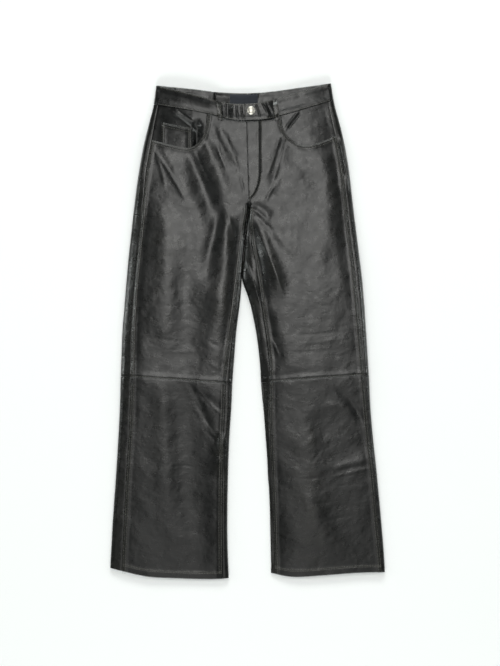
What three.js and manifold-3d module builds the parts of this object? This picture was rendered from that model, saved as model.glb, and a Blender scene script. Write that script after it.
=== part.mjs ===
// Black leather five-pocket trousers with a flared leg, laid flat on their back with the front up.
// Millimetres. +X points to the wearer's left, +Y from the hems to the waist, +Z up off the surface.
// The cloth is a thin wall. Each leg is a flattened tube: its back panel lies flat underneath, turns
// round both sides and comes up to the seams, and its front panel closes the top a little higher.
import * as THREE from "three";
import { mergeVertices } from "three/addons/utils/BufferGeometryUtils.js";
import Module from "manifold-3d";

const LEATHER = 1.2; // one ply of nappa
const BAND = 2.4; // waistband and belt loops, folded double
const GAP = 0.4; // between two pieces at a seam
const REST = 0.3; // between a piece and what it lies on
const CROTCH_Y = 264;
const TURN_RADIUS = 8; // how far in from a side edge the turn of the cloth reaches
const EDGE_FALL = 26; // distance over which the top falls away toward a side edge
const CROTCH_SPREAD = 1.5; // how fast the valley between the legs fades above the crotch
const BACK_BAND_WIDTH = 37;
const BACK_FORK = { width: 22, rise: 20 }; // where the back climbs to the crotch, beside its centre seam
const BACK = { side: 8, under: 5, inner: 7 }; // columns of a back panel in each part of its section
const HEM_TURN = 14;
const FLY_PLY = 1.3; // extra thickness of the fly's facing
const FLY = { width: 28.5, bend: 338, foot: 276, fade: 6 };
const BAND_LAP = { from: -6, under: 26, level: 38, fade: 22, rise: BAND + GAP };
const SEAM_RIDGE = { height: 1.2, width: 5, above: 6 }; // pressed allowance over each knee seam
const BUTTON = { x: 7.5, y: 462, radius: 8.7, dome: 3, shank: 2.8, hole: 3.6 };
const LOOP = { width: 10, ply: 2.2, lift: 3, seat: 0.22, below: 7, sink: 1 };
const LOOP_RIGHT = { top: -61, foot: -57 }; // x of the middle of a loop's two ends
const LOOP_LEFT = { top: 57, foot: 63 };
const LABEL = { from: -37, to: 22, below: 3.5, height: 20, thickness: 1 };
const POCKET_DEPTH = { seam: 1.8, inside: 3.2, fade: 12 };
const FACING_RIGHT = { inner: -72, bottom: 368 };
const FACING_LEFT = { inner: 60, bottom: 376 };
const COIN_POCKET = { from: -181, to: -117, topFrom: 439, topTo: 424, footFrom: 383, footTo: 377 };
const CLEAR = 60; // how far a cutting tool reaches past the cloth

// A short table: the names of its columns, then one row of numbers for each section, point or fold.
const table = (columns, ...values) =>
  values.map((value) => Object.fromEntries(columns.map((column, i) => [column, value[i]])));

// Plan of one leg at each height y: side edge, outseam, inseam and inner edge. Above the crotch the
// last two are the centre front line.
const LEG_COLUMNS = ["y", "outer", "outseam", "inseam", "inner"];
const RIGHT_LEG = table(
  LEG_COLUMNS,
  [520, -191, -187, -3, -3],
  [475, -197, -188, -3, -3],
  [435, -207, -195, -2.6, -2.6],
  [390, -218, -202.5, -1.5, -1.5],
  [340, -227, -211.5, 0, 0],
  [300, -233, -216, 1.3, 1.3],
  [264, -237.5, -220, 2, 3],
  [210, -243.5, -225.5, -7, -4],
  [150, -250, -231.5, -14, -9],
  [110, -253.5, -235.5, -18.5, -11.8],
  [75, -256.5, -238.5, -23, -14],
  [50, -258.5, -240, -26, -16.5],
  [0, -262.5, -243, -32.5, -23],
  [-50, -264.5, -244, -39, -27],
  [-105, -266.5, -245, -45.5, -31],
  [-160, -268, -246.5, -47.5, -33.5],
  [-220, -271, -249, -50, -37.5],
  [-300, -276, -254, -52, -40.5],
  [-400, -283, -259, -53, -42],
  [-460, -286.3, -262, -52.7, -41.2],
  [-520, -289.8, -264, -52.4, -39],
);
const LEFT_LEG = table(
  LEG_COLUMNS,
  [520, 175.5, 168, -3, -3],
  [475, 183.3, 170, -3, -3],
  [435, 194, 178.5, -2.6, -2.6],
  [390, 204.5, 189.5, -1.5, -1.5],
  [340, 213, 198.5, 0, 0],
  [300, 217.8, 204.5, 1.3, 1.3],
  [264, 221.8, 209, 4, 3],
  [210, 228.5, 214.5, 5.7, -4],
  [150, 236, 222, 15.5, -9],
  [110, 241, 226.5, 22, -11.6],
  [75, 244, 230, 27.5, 0],
  [50, 246, 232.5, 31, 7.4],
  [0, 249.3, 236.5, 38.5, 17.6],
  [-50, 252.5, 241, 44.5, 24.4],
  [-105, 256, 245.5, 46.5, 29],
  [-160, 258.5, 250, 46, 33.5],
  [-220, 263.5, 255.5, 47.5, 38],
  [-300, 272, 264.5, 51, 43.5],
  [-400, 281.3, 273, 54.5, 48.3],
  [-460, 286.4, 279, 56, 49.7],
  [-520, 290, 284, 56.5, 50.4],
);

// Height of the top of the cloth at each height y: in the middle of a leg and at its side edges.
const LOFT = table(
  ["y", "middle", "edge"],
  [520, 13.5, 9.5],
  [450, 16.5, 11],
  [400, 18.5, 12],
  [264, 20, 13],
  [100, 20, 13],
  [0, 18, 12],
  [-105, 16, 11.5],
  [-300, 14, 10],
  [-450, 12, 9],
  [-520, 11, 8.5],
);

// Lines across the garment: y at each x.
const LINE = ["x", "y"];
const BACK_TOP = table(LINE, [-191, 516.5], [-110, 508.5], [-60, 502.3], [0, 500.2], [50, 503.7],
  [110, 512], [176, 521]);
const FRONT_TOP = table(LINE, [-190, 514.5], [-125, 499], [-77, 486], [-40, 478], [0, 476.7],
  [30, 480], [64, 489], [110, 502], [175, 520]);
const WAIST_SEAM = table(LINE, [-198, 475.5], [-135, 465.5], [-70, 453], [-38, 444], [-5, 441.5],
  [50, 445], [68, 451], [110, 463], [170, 481], [186, 486]);
const RIGHT_KNEE = table(LINE, [-267, -95.5], [-243, -96.5], [-50, -110], [-30, -113.5]);
const LEFT_KNEE = table(LINE, [28, -109], [47, -107], [244, -92.5], [256, -91.5]);
const RIGHT_HEM = table(LINE, [-290, -497.5], [-262, -504.5], [-212, -515.5], [-150, -519.3],
  [-75, -521.2], [-39, -519]);
const LEFT_HEM = table(LINE, [50, -508.5], [78, -514.5], [103, -516.6], [153, -513.7],
  [229, -508], [290, -506.5]);
const RIGHT_MOUTH = table(LINE, [-84, 456], [-86.5, 435], [-95, 406], [-119, 385], [-154, 388.5],
  [-205, 402]);
const LEFT_MOUTH = table(LINE, [69, 458], [73, 431], [85, 407.5], [112, 391], [140, 392],
  [171, 403], [192, 412]);

// The largest folds: a soft ridge, or a trough where the height is below 0, from one point to
// another. Bow is how far its middle swings to the left of that line, width its half width.
const FOLDS = table(
  ["x1", "y1", "x2", "y2", "bow", "width", "height"],
  [-188, 386, -88, 240, 6, 15, 3.5],
  [-110, 384, -52, 240, 5, 14, -4],
  [-84, 404, -30, 312, 6, 12, 4],
  [-72, 436, -16, 372, -5, 7, 2.5],
  [-50, 270, -46, 0, 0, 15, 3],
  [-92, 112, -94, -84, 0, 17, -4],
  [-168, 222, -166, -82, 0, 26, 2.5],
  [76, 412, 58, 292, -8, 9, -3],
  [182, 392, 191, 170, 0, 15, -3],
  [194, 402, 207, 312, 3, 6, 2],
  [9, 268, 48, 240, 3, 6, -2.5],
  [8, 252, 78, 62, 10, 10, 4.5],
  [4, 224, 34, 62, 6, 8, -4],
  [-184, -112, -160, -360, 4, 13, 2.5],
  [-173, -294, -108, -278, -6, 7, -2.2],
  [-110, -126, -54, -168, 2, 7, -2],
  [-57, -226, -62, -294, 4, 10, 2.5],
  [-100, -290, -94, -460, 0, 17, -3],
  [148, -116, 150, -296, 3, 18, -2.5],
  [184, -303, 270, -286, 4, 6, 2.2],
  [186, -120, 240, -182, 5, 9, -2],
  [74, -140, 92, -480, 0, 17, -2.5],
);

const RIGHT = { name: "right", sign: -1, leg: RIGHT_LEG, knee: RIGHT_KNEE, hem: RIGHT_HEM };
const LEFT = { name: "left", sign: 1, leg: LEFT_LEG, knee: LEFT_KNEE, hem: LEFT_HEM };
const SIDES = [RIGHT, LEFT];

const clamp01 = (v) => Math.min(1, Math.max(0, v));
const smooth = (v) => clamp01(v) ** 2 * (3 - 2 * clamp01(v));
const lerp = THREE.MathUtils.lerp;

// One column of a table at a place along its first column, on a smooth curve through the rows.
function at(rows, key, place, column) {
  const rising = rows.at(-1)[key] > rows[0][key];
  const list = rising ? rows : [...rows].reverse();
  const p = Math.min(Math.max(place, list[0][key]), list.at(-1)[key]);
  const i = Math.min(list.findLastIndex((row) => row[key] <= p), list.length - 2);
  const slope = (a, b) => (b[column] - a[column]) / (b[key] - a[key]);
  const tangent = (k) => slope(list[Math.max(k - 1, 0)], list[Math.min(k + 1, list.length - 1)]);
  const span = list[i + 1][key] - list[i][key];
  const t = (p - list[i][key]) / span;
  const [a, b] = [list[i][column], list[i + 1][column]];
  const [ta, tb] = [tangent(i) * span, tangent(i + 1) * span];
  return a + t * (ta + t * (3 * (b - a) - 2 * ta - tb + t * (2 * (a - b) + ta + tb)));
}
const lineY = (line, x) => at(line, "x", x, "y");
const planX = (side, y, column) => at(side.leg, "y", y, column);
const edgeX = (side, y) => planX(side, y, "inner") + (side.sign * GAP) / 2;
const waistSeam = (x) => lineY(WAIST_SEAM, x);
const backSeam = (x) => lineY(BACK_TOP, x) - BACK_BAND_WIDTH;

// Height that the folds add: across a fold a bell curve, and along it a rise and fall.
function foldHeight(x, y) {
  let sum = 0;
  for (const fold of FOLDS) {
    const [dx, dy] = [fold.x2 - fold.x1, fold.y2 - fold.y1];
    const length = Math.hypot(dx, dy);
    const along = ((x - fold.x1) * dx + (y - fold.y1) * dy) / length ** 2;
    if (along <= 0 || along >= 1) continue;
    const bow = fold.bow * 4 * along * (1 - along);
    const across = ((y - fold.y1) * dx - (x - fold.x1) * dy) / length - bow;
    const ends = smooth(along / 0.3) * smooth((1 - along) / 0.3);
    sum += fold.height * ends * Math.exp(-((across / fold.width) ** 2));
  }
  return sum;
}

// Height of the outer face of the top of the cloth over (x, y): lofted in the middle, lower toward the
// side edges, and round the last TURN_RADIUS down to half the height of the side.
function topHeight(side, x, y) {
  const outer = Math.max(0, side.sign * (planX(side, y, "outer") - x));
  const above = CROTCH_SPREAD * Math.max(0, y - CROTCH_Y);
  const inner = Math.max(0, side.sign * (x - edgeX(side, y))) + above;
  const edge = at(LOFT, "y", y, "edge");
  const middle = at(LOFT, "y", y, "middle");
  const fall = Math.exp(-outer / EDGE_FALL) + Math.exp(-inner / EDGE_FALL);
  const overSeam = y - lineY(side.knee, x) - SEAM_RIDGE.above;
  const ridge = SEAM_RIDGE.height * Math.exp(-((overSeam / SEAM_RIDGE.width) ** 2));
  const arch = middle - (middle - edge) * fall + foldHeight(x, y) + ridge;
  const turn = (d) => Math.sqrt(1 - (1 - clamp01(d / TURN_RADIUS)) ** 2);
  return edge / 2 + (arch - edge / 2) * turn(outer) * turn(inner);
}

// Extra thickness of the left front where the fly's facing lies under it, inside the curved stitching.
function flyPly(x, y) {
  const drop = clamp01((FLY.bend - y) / (FLY.bend - FLY.foot));
  const stitch = FLY.width * Math.sqrt(1 - drop ** 2);
  return y < FLY.foot ? 0 : FLY_PLY * smooth((stitch - x) / FLY.fade);
}

// A closed wall from a surface, point(i, j), that is its outer face. Its inner face lies thick(i, j)
// behind that, along the normal. Facing is 1 or -1, whichever makes the normal point outward.
function wall(columns, rows, point, thick, facing) {
  const index = (i, j) => j * (columns + 1) + i;
  const near = 0.05;
  const pick = (i, j) => point(Math.min(Math.max(i, 0), columns), Math.min(Math.max(j, 0), rows));
  const [outside, inside] = [[], []];
  for (let j = 0; j <= rows; j++)
    for (let i = 0; i <= columns; i++) {
      const p = point(i, j);
      const across = pick(i + near, j).sub(pick(i - near, j));
      const down = pick(i, j + near).sub(pick(i, j - near));
      const normal = across.cross(down).normalize().multiplyScalar(facing);
      outside.push(p);
      inside.push(p.clone().addScaledVector(normal, -thick(i, j)));
    }
  const half = outside.length;
  const faces = [];
  const quad = (a, b, c, d) => faces.push(a, b, c, a, c, d);
  for (let j = 0; j < rows; j++)
    for (let i = 0; i < columns; i++) {
      const ring = [index(i, j), index(i + 1, j), index(i + 1, j + 1), index(i, j + 1)];
      quad(...ring);
      quad(...ring.reverse().map((k) => k + half));
    }
  const rim = [];
  for (let i = 0; i < columns; i++) rim.push(index(i, 0));
  for (let j = 0; j < rows; j++) rim.push(index(columns, j));
  for (let i = columns; i > 0; i--) rim.push(index(i, rows));
  for (let j = rows; j > 0; j--) rim.push(index(0, j));
  rim.forEach((a, k) => {
    const b = rim[(k + 1) % rim.length];
    quad(b, a, a + half, b + half);
  });
  if (facing < 0) faces.reverse();
  const positions = [...outside, ...inside].flatMap((p) => p.toArray());
  return new THREE.BufferGeometry()
    .setAttribute("position", new THREE.Float32BufferAttribute(positions, 3))
    .setIndex(faces);
}

const wasm = await Module();
wasm.setup();

function solidOf(geometry) {
  const bare = geometry.clone();
  bare.deleteAttribute("normal");
  bare.deleteAttribute("uv");
  const merged = mergeVertices(bare, 1e-4);
  return new wasm.Manifold(new wasm.Mesh({
    numProp: 3,
    vertProperties: merged.attributes.position.array,
    triVerts: new Uint32Array(merged.index.array),
  }));
}

function geometryOf(solid) {
  const mesh = solid.getMesh();
  return new THREE.BufferGeometry()
    .setAttribute("position", new THREE.BufferAttribute(mesh.vertProperties, 3))
    .setIndex(new THREE.BufferAttribute(mesh.triVerts, 1));
}

const cut = (geometry, ...tools) =>
  geometryOf(tools.reduce((left, tool) => left.subtract(solidOf(tool)), solidOf(geometry)));

const trousers = new THREE.Group();
const BLACK = { color: 0x1e1f1f, roughness: 0.45, metalness: 0 };

function add(name, geometry, look = BLACK) {
  const mesh = new THREE.Mesh(geometry, new THREE.MeshStandardMaterial(look));
  mesh.name = name;
  trousers.add(mesh);
}

// x in a front panel at height y, a share of the way from its outseam to its inseam. The columns lie
// a little closer together near both seams.
function frontX(side, y, share) {
  const spread = lerp(share, (1 - Math.cos(Math.PI * share)) / 2, 0.5);
  const out = planX(side, y, "outseam") - (side.sign * GAP) / 2;
  return lerp(out, planX(side, y, "inseam") + (side.sign * GAP) / 2, spread);
}

// Thigh front: from the waist seam to the knee seam, and from the outseam to the centre front and,
// below the crotch, to the inseam. The corner over the hand pocket is cut away along its mouth.
function frontUpper(side, mouth) {
  const [columns, bodyRows, legRows] = [14, 9, 15];
  const point = (i, j) => {
    const xAt = (y) => frontX(side, y, i / columns);
    const top = waistSeam(xAt(waistSeam(xAt(CROTCH_Y)))) - GAP / 2;
    const foot = lineY(side.knee, xAt(side.knee[0].y)) + GAP / 2;
    const y = j <= bodyRows
      ? lerp(top, CROTCH_Y, j / bodyRows)
      : lerp(CROTCH_Y, foot, (j - bodyRows) / legRows);
    const x = xAt(y);
    const ply = side === LEFT ? flyPly(x, y) : 0;
    return new THREE.Vector3(x, y, topHeight(side, x, y) + ply);
  };
  const thick = (i, j) => {
    const p = point(i, j);
    return LEATHER + (side === LEFT ? flyPly(p.x, p.y) : 0);
  };
  const panel = wall(columns, bodyRows + legRows, point, thick, side.sign);
  const outline = new THREE.Shape();
  const [first, ...others] = mouth.map((p) => new THREE.Vector2(p.x, p.y));
  outline.moveTo(first.x, first.y);
  outline.splineThru(others);
  outline.lineTo(others.at(-1).x + side.sign * CLEAR, others.at(-1).y);
  outline.lineTo(others.at(-1).x + side.sign * CLEAR, first.y + CLEAR);
  outline.lineTo(first.x, first.y + CLEAR);
  const options = { depth: 2 * CLEAR, bevelEnabled: false, curveSegments: 20 };
  return cut(panel, new THREE.ExtrudeGeometry(outline, options).translate(0, 0, -CLEAR));
}

// Shin front: from the knee seam to the hem, double where the hem is turned up inside.
function frontLower(side) {
  const [columns, rows] = [12, 14];
  const point = (i, j) => {
    const xAt = (y) => frontX(side, y, i / columns);
    const top = lineY(side.knee, xAt(side.knee[0].y)) - GAP / 2;
    const y = hemRow(top, lineY(side.hem, xAt(side.hem[0].y)), j, rows);
    const x = xAt(y);
    return new THREE.Vector3(x, y, topHeight(side, x, y));
  };
  return wall(columns, rows, point, (i, j) => hemThickness(j, rows), side.sign);
}

// Rows of a shin panel: even down to the hem's turning, then one just inside it and one at the hem.
function hemRow(top, hem, j, rows) {
  const turn = hem + HEM_TURN;
  if (j <= rows - 2) return lerp(top, turn, j / (rows - 2));
  if (j <= rows - 1) return lerp(turn, turn - GAP, j - rows + 2);
  return lerp(turn - GAP, hem, j - rows + 1);
}
const hemThickness = (j, rows) => (j >= rows - 1 ? 2 : 1) * LEATHER;

// The point at a share of the length of a path of points.
function alongPath(path, share) {
  const lengths = [0];
  for (let k = 1; k < path.length; k++)
    lengths.push(lengths[k - 1] + path[k].distanceTo(path[k - 1]));
  const want = lengths.at(-1) * share;
  const k = Math.min(Math.max(lengths.findIndex((l) => l >= want), 1), path.length - 1);
  const part = (want - lengths[k - 1]) / Math.max(lengths[k] - lengths[k - 1], 1e-9);
  return path[k - 1].clone().lerp(path[k], clamp01(part));
}

// Round the side of the cloth at height y, from a place on top that lies "seam" in from the edge, over
// the edge and down to the flat underside. The points hold x, z and how far the cloth has turned.
function sideTurn(side, y, edge, inward, seam, climb = 1) {
  const half = at(LOFT, "y", y, "edge") / 2;
  const path = [];
  const topPoint = (d) => {
    const x = edge + inward * d;
    return new THREE.Vector3(x, topHeight(side, x, y), 0);
  };
  if (climb === 1) for (let d = seam; d > TURN_RADIUS; d -= 3) path.push(topPoint(d));
  const full = Math.acos(1 - clamp01(seam / TURN_RADIUS));
  const reach = lerp(-Math.PI / 2, full, climb);
  const steps = 18;
  for (let k = 0; k <= steps; k++) {
    const angle = lerp(reach, -Math.PI / 2, k / steps);
    const d = TURN_RADIUS * (1 - Math.cos(angle));
    if (angle > 0) path.push(topPoint(d));
    else path.push(new THREE.Vector3(edge + inward * d, half * (1 + Math.sin(angle)), -angle));
  }
  return path;
}

// Section of a back panel at height y: from the outseam over the side edge, flat underneath, and
// round the inner edge up to the inseam. Above the crotch it sinks to end flat at the centre back.
function backSection(side, y, column) {
  const outer = planX(side, y, "outer");
  const outSeam = Math.abs(outer - planX(side, y, "outseam")) - GAP / 2;
  const start = sideTurn(side, y, outer, -side.sign, outSeam);
  if (column <= BACK.side) return alongPath(start, column / BACK.side);
  const inner = edgeX(side, y);
  const inSeam = Math.abs(inner - planX(side, y, "inseam")) - GAP / 2;
  const climb = 1 - clamp01((y - CROTCH_Y) / BACK_FORK.rise);
  const foot = new THREE.Vector3(inner + side.sign * BACK_FORK.width, 0, Math.PI / 2);
  const turned = climb > 0
    ? sideTurn(side, y, inner, side.sign, inSeam, climb).reverse()
    : [new THREE.Vector3(inner, 0, Math.PI / 2)];
  if (column >= BACK.side + BACK.under)
    return alongPath([foot, ...turned], (column - BACK.side - BACK.under) / BACK.inner);
  return alongPath([start.at(-1), foot], (column - BACK.side) / BACK.under);
}

// Waist seam of a back panel: the front's on top and the back's own underneath, blended round the
// side by how far the section has turned.
const turnedSeam = (p) => lerp(waistSeam(p.x), backSeam(p.x), clamp01((2 * p.z) / Math.PI));

function backPanel(side, rows, yAt, thick) {
  const columns = BACK.side + BACK.under + BACK.inner;
  const point = (i, j) => {
    const y = yAt(i, j);
    const p = backSection(side, y, i);
    return new THREE.Vector3(p.x, y, p.y);
  };
  return wall(columns, rows, point, thick, -side.sign);
}

// Thigh back, from the waist seam to the knee seam.
function backUpper(side) {
  const [bodyRows, legRows] = [9, 15];
  const yAt = (i, j) => {
    const waist = backSection(side, waistSeam(side.sign * 190), i);
    if (j <= bodyRows) return lerp(turnedSeam(waist) - GAP, CROTCH_Y, j / bodyRows);
    const foot = lineY(side.knee, backSection(side, side.knee[1].y, i).x) + GAP / 2;
    return lerp(CROTCH_Y, foot, (j - bodyRows) / legRows);
  };
  return backPanel(side, bodyRows + legRows, yAt, () => LEATHER);
}

// Shin back, from the knee seam to the hem.
function backLower(side) {
  const rows = 14;
  const yAt = (i, j) => {
    const top = lineY(side.knee, backSection(side, side.knee[1].y, i).x) - GAP / 2;
    return hemRow(top, lineY(side.hem, backSection(side, side.hem[1].y, i).x), j, rows);
  };
  return backPanel(side, rows, yAt, (i, j) => hemThickness(j, rows));
}

// Depth of a pocket facing under the top of the cloth: least at its seams, more inside.
function pocketDepth(side, x, y) {
  const fromOutseam = side.sign * (planX(side, y, "outseam") - x);
  const fromWaist = waistSeam(x) - y;
  const inside = smooth(fromOutseam / POCKET_DEPTH.fade) * smooth(fromWaist / POCKET_DEPTH.fade);
  return lerp(POCKET_DEPTH.seam, POCKET_DEPTH.inside, inside);
}

// Pocket facing: the hip-side leather that shows inside the mouth and carries on under the front.
function pocketFacing(side, facing) {
  const [columns, rows] = [8, 6];
  const point = (i, j) => {
    const xAt = (y) => lerp(planX(side, y, "outseam") - side.sign * GAP, facing.inner, i / columns);
    const top = waistSeam(xAt(waistSeam(xAt(CROTCH_Y)))) - GAP;
    const y = lerp(waistSeam(xAt(top)) - GAP, facing.bottom, j / rows);
    const x = xAt(y);
    return new THREE.Vector3(x, y, topHeight(side, x, y) - pocketDepth(side, x, y));
  };
  return wall(columns, rows, point, () => LEATHER, side.sign);
}

// Coin pocket: a patch on the right facing, with its slanted hem at the top.
function coinPocket() {
  const [columns, rows] = [5, 5];
  const c = COIN_POCKET;
  const point = (i, j) => {
    const x = lerp(c.from, c.to, i / columns);
    const top = lerp(c.topFrom, c.topTo, i / columns);
    const y = lerp(top, lerp(c.footFrom, c.footTo, i / columns), j / rows);
    const lift = LEATHER + REST - pocketDepth(RIGHT, x, y);
    return new THREE.Vector3(x, y, topHeight(RIGHT, x, y) + lift);
  };
  return wall(columns, rows, point, () => LEATHER, RIGHT.sign);
}

// Fly shield: a strip on the right front's edge that closes the opening under the fly.
function flyShield() {
  const [columns, rows, overlap] = [3, 7, 10];
  const point = (i, j) => {
    const edge = planX(RIGHT, CROTCH_Y, "inseam");
    const x = lerp(edge - overlap, FLY.width - GAP, i / columns);
    const y = lerp(waistSeam(x) - GAP, FLY.foot + overlap, j / rows);
    return new THREE.Vector3(x, y, topHeight(LEFT, x, y) - LEATHER - REST);
  };
  return wall(columns, rows, point, () => LEATHER, -1);
}

// Half of the waistband: from its front end over the side edge to the centre back.
function waistband(side, frontEnd, lap) {
  const [front, turn, back, rows] = [11, 7, 6, 3];
  const edge = (y) => planX(side, y, "outer");
  const point = (i, j) => {
    const share = j / rows;
    const frontY = (x) => lerp(waistSeam(x) + GAP / 2, lineY(FRONT_TOP, x), share);
    const backY = (x) => lerp(backSeam(x) + GAP / 2, lineY(BACK_TOP, x), share);
    const sideX = edge(frontY(edge(WAIST_SEAM[0].y)));
    if (i <= front) {
      const x = lerp(frontEnd, sideX - side.sign * TURN_RADIUS, i / front);
      const y = frontY(x);
      return new THREE.Vector3(x, y, topHeight(side, x, y) + lap(x));
    }
    if (i <= front + turn) {
      const angle = lerp(Math.PI / 2, -Math.PI / 2, (i - front) / turn);
      const x = sideX - side.sign * TURN_RADIUS * (1 - Math.cos(angle));
      const y = lerp(backY(x), frontY(x), (1 + Math.sin(angle)) / 2);
      const half = at(LOFT, "y", y, "edge") / 2;
      const z = angle > 0 ? topHeight(side, x, y) : half * (1 + Math.sin(angle));
      return new THREE.Vector3(x, y, z);
    }
    const start = sideX - side.sign * TURN_RADIUS;
    const x = lerp(start, (side.sign * GAP) / 2, (i - front - turn) / back);
    return new THREE.Vector3(x, backY(x), 0);
  };
  return wall(front + turn + back, rows, point, () => BAND, side.sign);
}

// The left end of the band rises over the right one, which carries the button.
const bandLap = (x) => BAND_LAP.rise * smooth((BAND_LAP.level + BAND_LAP.fade - x) / BAND_LAP.fade);

// Belt loop: a doubled strip from the band's top edge to just below the waist seam, lifted between.
function beltLoop(side, place) {
  const [columns, rows] = [2, 12];
  const point = (i, j) => {
    const share = j / rows;
    const x = lerp(place.top, place.foot, share) + LOOP.width * (i / columns - 0.5);
    const y = lerp(lineY(FRONT_TOP, x) - LOOP.sink, waistSeam(x) - LOOP.below, share);
    const raised = smooth(share / LOOP.seat - 0.4) * smooth((1 - share) / LOOP.seat - 0.4);
    const bandUnder = side === LEFT ? bandLap(x) : 0;
    const seat = topHeight(side, x, y) + bandUnder + REST;
    return new THREE.Vector3(x, y, seat + LOOP.lift * raised + LOOP.ply);
  };
  return wall(columns, rows, point, () => LOOP.ply, -1);
}

// Button: a domed cap on a shank that stands on the right band and passes the left one's buttonhole.
function button(seat) {
  const { radius, dome, shank } = BUTTON;
  const rise = BAND_LAP.rise + REST;
  const profile = [new THREE.Vector2(0, 0), new THREE.Vector2(shank, 0)];
  profile.push(new THREE.Vector2(shank, rise), new THREE.Vector2(radius - 1, rise));
  for (let k = 0; k <= 6; k++) {
    const angle = (Math.PI / 2) * (k / 6);
    profile.push(new THREE.Vector2(radius * Math.cos(angle), rise + 1 + (dome - 1) * Math.sin(angle)));
  }
  profile.at(-1).x = 0;
  return new THREE.LatheGeometry(profile, 28).rotateX(Math.PI / 2)
    .translate(BUTTON.x, BUTTON.y, seat + REST);
}

// Woven label, left plain, on the inside of the back band.
function label() {
  const columns = 3;
  const point = (i, j) => {
    const x = lerp(LABEL.from, LABEL.to, i / columns);
    const top = lineY(BACK_TOP, x) - LABEL.below;
    return new THREE.Vector3(x, top - LABEL.height * j, BAND + REST + LABEL.thickness);
  };
  return wall(columns, 1, point, () => LABEL.thickness, -1);
}

add("front_upper_right", frontUpper(RIGHT, RIGHT_MOUTH));
add("front_upper_left", frontUpper(LEFT, LEFT_MOUTH));
for (const side of SIDES) {
  add(`front_lower_${side.name}`, frontLower(side));
  add(`back_upper_${side.name}`, backUpper(side));
  add(`back_lower_${side.name}`, backLower(side));
}
add("pocket_facing_right", pocketFacing(RIGHT, FACING_RIGHT));
add("pocket_facing_left", pocketFacing(LEFT, FACING_LEFT));
add("coin_pocket", coinPocket());
add("fly_shield", flyShield());
add("waistband_right", waistband(RIGHT, BAND_LAP.under, () => 0));
const buttonhole = new THREE.CylinderGeometry(BUTTON.hole, BUTTON.hole, CLEAR, 24)
  .rotateX(Math.PI / 2).translate(BUTTON.x, BUTTON.y, 0);
add("waistband_left", cut(waistband(LEFT, BAND_LAP.from, bandLap), buttonhole));
add("belt_loop_right", beltLoop(RIGHT, LOOP_RIGHT));
add("belt_loop_left", beltLoop(LEFT, LOOP_LEFT));
const METAL = { color: 0xb9b6ad, roughness: 0.3, metalness: 1 };
add("button", button(topHeight(RIGHT, BUTTON.x, BUTTON.y)), METAL);
add("waist_label", label(), { color: 0x22262f, roughness: 0.8, metalness: 0 });

// The origin is the middle of the garment's outline, on the surface that it lies on.
const box = new THREE.Box3().setFromObject(trousers);
const middle = box.getCenter(new THREE.Vector3());
trousers.position.set(-middle.x, -middle.y, -box.min.z);

export default trousers;
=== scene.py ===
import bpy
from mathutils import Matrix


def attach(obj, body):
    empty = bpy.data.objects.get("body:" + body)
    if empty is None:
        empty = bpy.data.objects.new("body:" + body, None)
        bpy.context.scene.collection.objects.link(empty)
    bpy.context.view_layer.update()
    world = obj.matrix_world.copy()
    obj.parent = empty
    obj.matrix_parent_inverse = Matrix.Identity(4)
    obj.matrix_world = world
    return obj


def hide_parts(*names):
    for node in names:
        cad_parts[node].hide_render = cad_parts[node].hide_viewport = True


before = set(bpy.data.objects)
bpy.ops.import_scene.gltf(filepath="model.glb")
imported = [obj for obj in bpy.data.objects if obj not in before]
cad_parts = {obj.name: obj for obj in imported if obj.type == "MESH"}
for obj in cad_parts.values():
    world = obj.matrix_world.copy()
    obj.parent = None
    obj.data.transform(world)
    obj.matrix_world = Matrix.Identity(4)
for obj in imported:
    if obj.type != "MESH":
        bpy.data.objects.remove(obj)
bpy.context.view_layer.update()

from types import SimpleNamespace

import bpy
import numpy as np
from mathutils import Vector

# Thigh fronts: one panel of black nappa for each leg, from the waist seam to the knee seam. The corner
# over the hand pocket is scooped out; the side, inseam and pocket edges are turned under and topstitched
# in two rows, and the knee edge in one.
# All sizes are millimetres, measured from the centre front line, and TO_FRAME moves them to the
# frame's origin, the middle of the outline.
MM = 0.001
TO_FRAME = np.array([-0.326, 0.325, 0.0])
LEATHER = 1.2  # one ply of nappa
GAP = 0.4  # between two pieces at a seam
CROTCH_Y = 264.0
KNEE_Y = -100.0
TURN_RADIUS = 8.0  # how far in from a side edge the turn of the cloth reaches
EDGE_FALL = 28.0  # distance over which the top falls away toward an inner edge
CROTCH_SPREAD = 1.5  # how fast the valley between the legs fades above the crotch
CROTCH_FILL = 0.75  # share of that valley that is filled at the crotch
CROTCH_BLEND = 70.0  # height below the crotch over which it fills
# The seam allowance that is pressed up above each knee seam: a bell-shaped ridge of uneven height.
KNEE_RIDGE = SimpleNamespace(height=0.75, width=5.0, above=6.0, mean=0.65, uneven=0.5, pitch=26,
                             seed=17)


def table(names, *rows):
    """Rows of numbers as named columns, in rising order of the first column."""
    values = np.array(rows, float)
    values = values[np.argsort(values[:, 0], kind="stable")]
    return dict(zip(names.split(), values.T))


def read(rows, column, place):
    """A column's value at each place along the first column: cubics through the rows, whose slope at
    a row is the slope between its two neighbours, held level past both ends."""
    key, value = next(iter(rows.values())), rows[column]
    last = len(key) - 1
    after, before = np.minimum(np.arange(last + 1) + 1, last), np.maximum(np.arange(last + 1) - 1, 0)
    slope = (value[after] - value[before]) / (key[after] - key[before])
    p = np.clip(place, key[0], key[-1])
    i = np.clip(np.searchsorted(key, p, side="right") - 1, 0, last - 1)
    span = key[i + 1] - key[i]
    t = (p - key[i]) / span
    a, b, ta, tb = value[i], value[i + 1], slope[i] * span, slope[i + 1] * span
    return a + t * (ta + t * (3 * (b - a) - 2 * ta - tb + t * (2 * (a - b) + ta + tb)))


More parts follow.
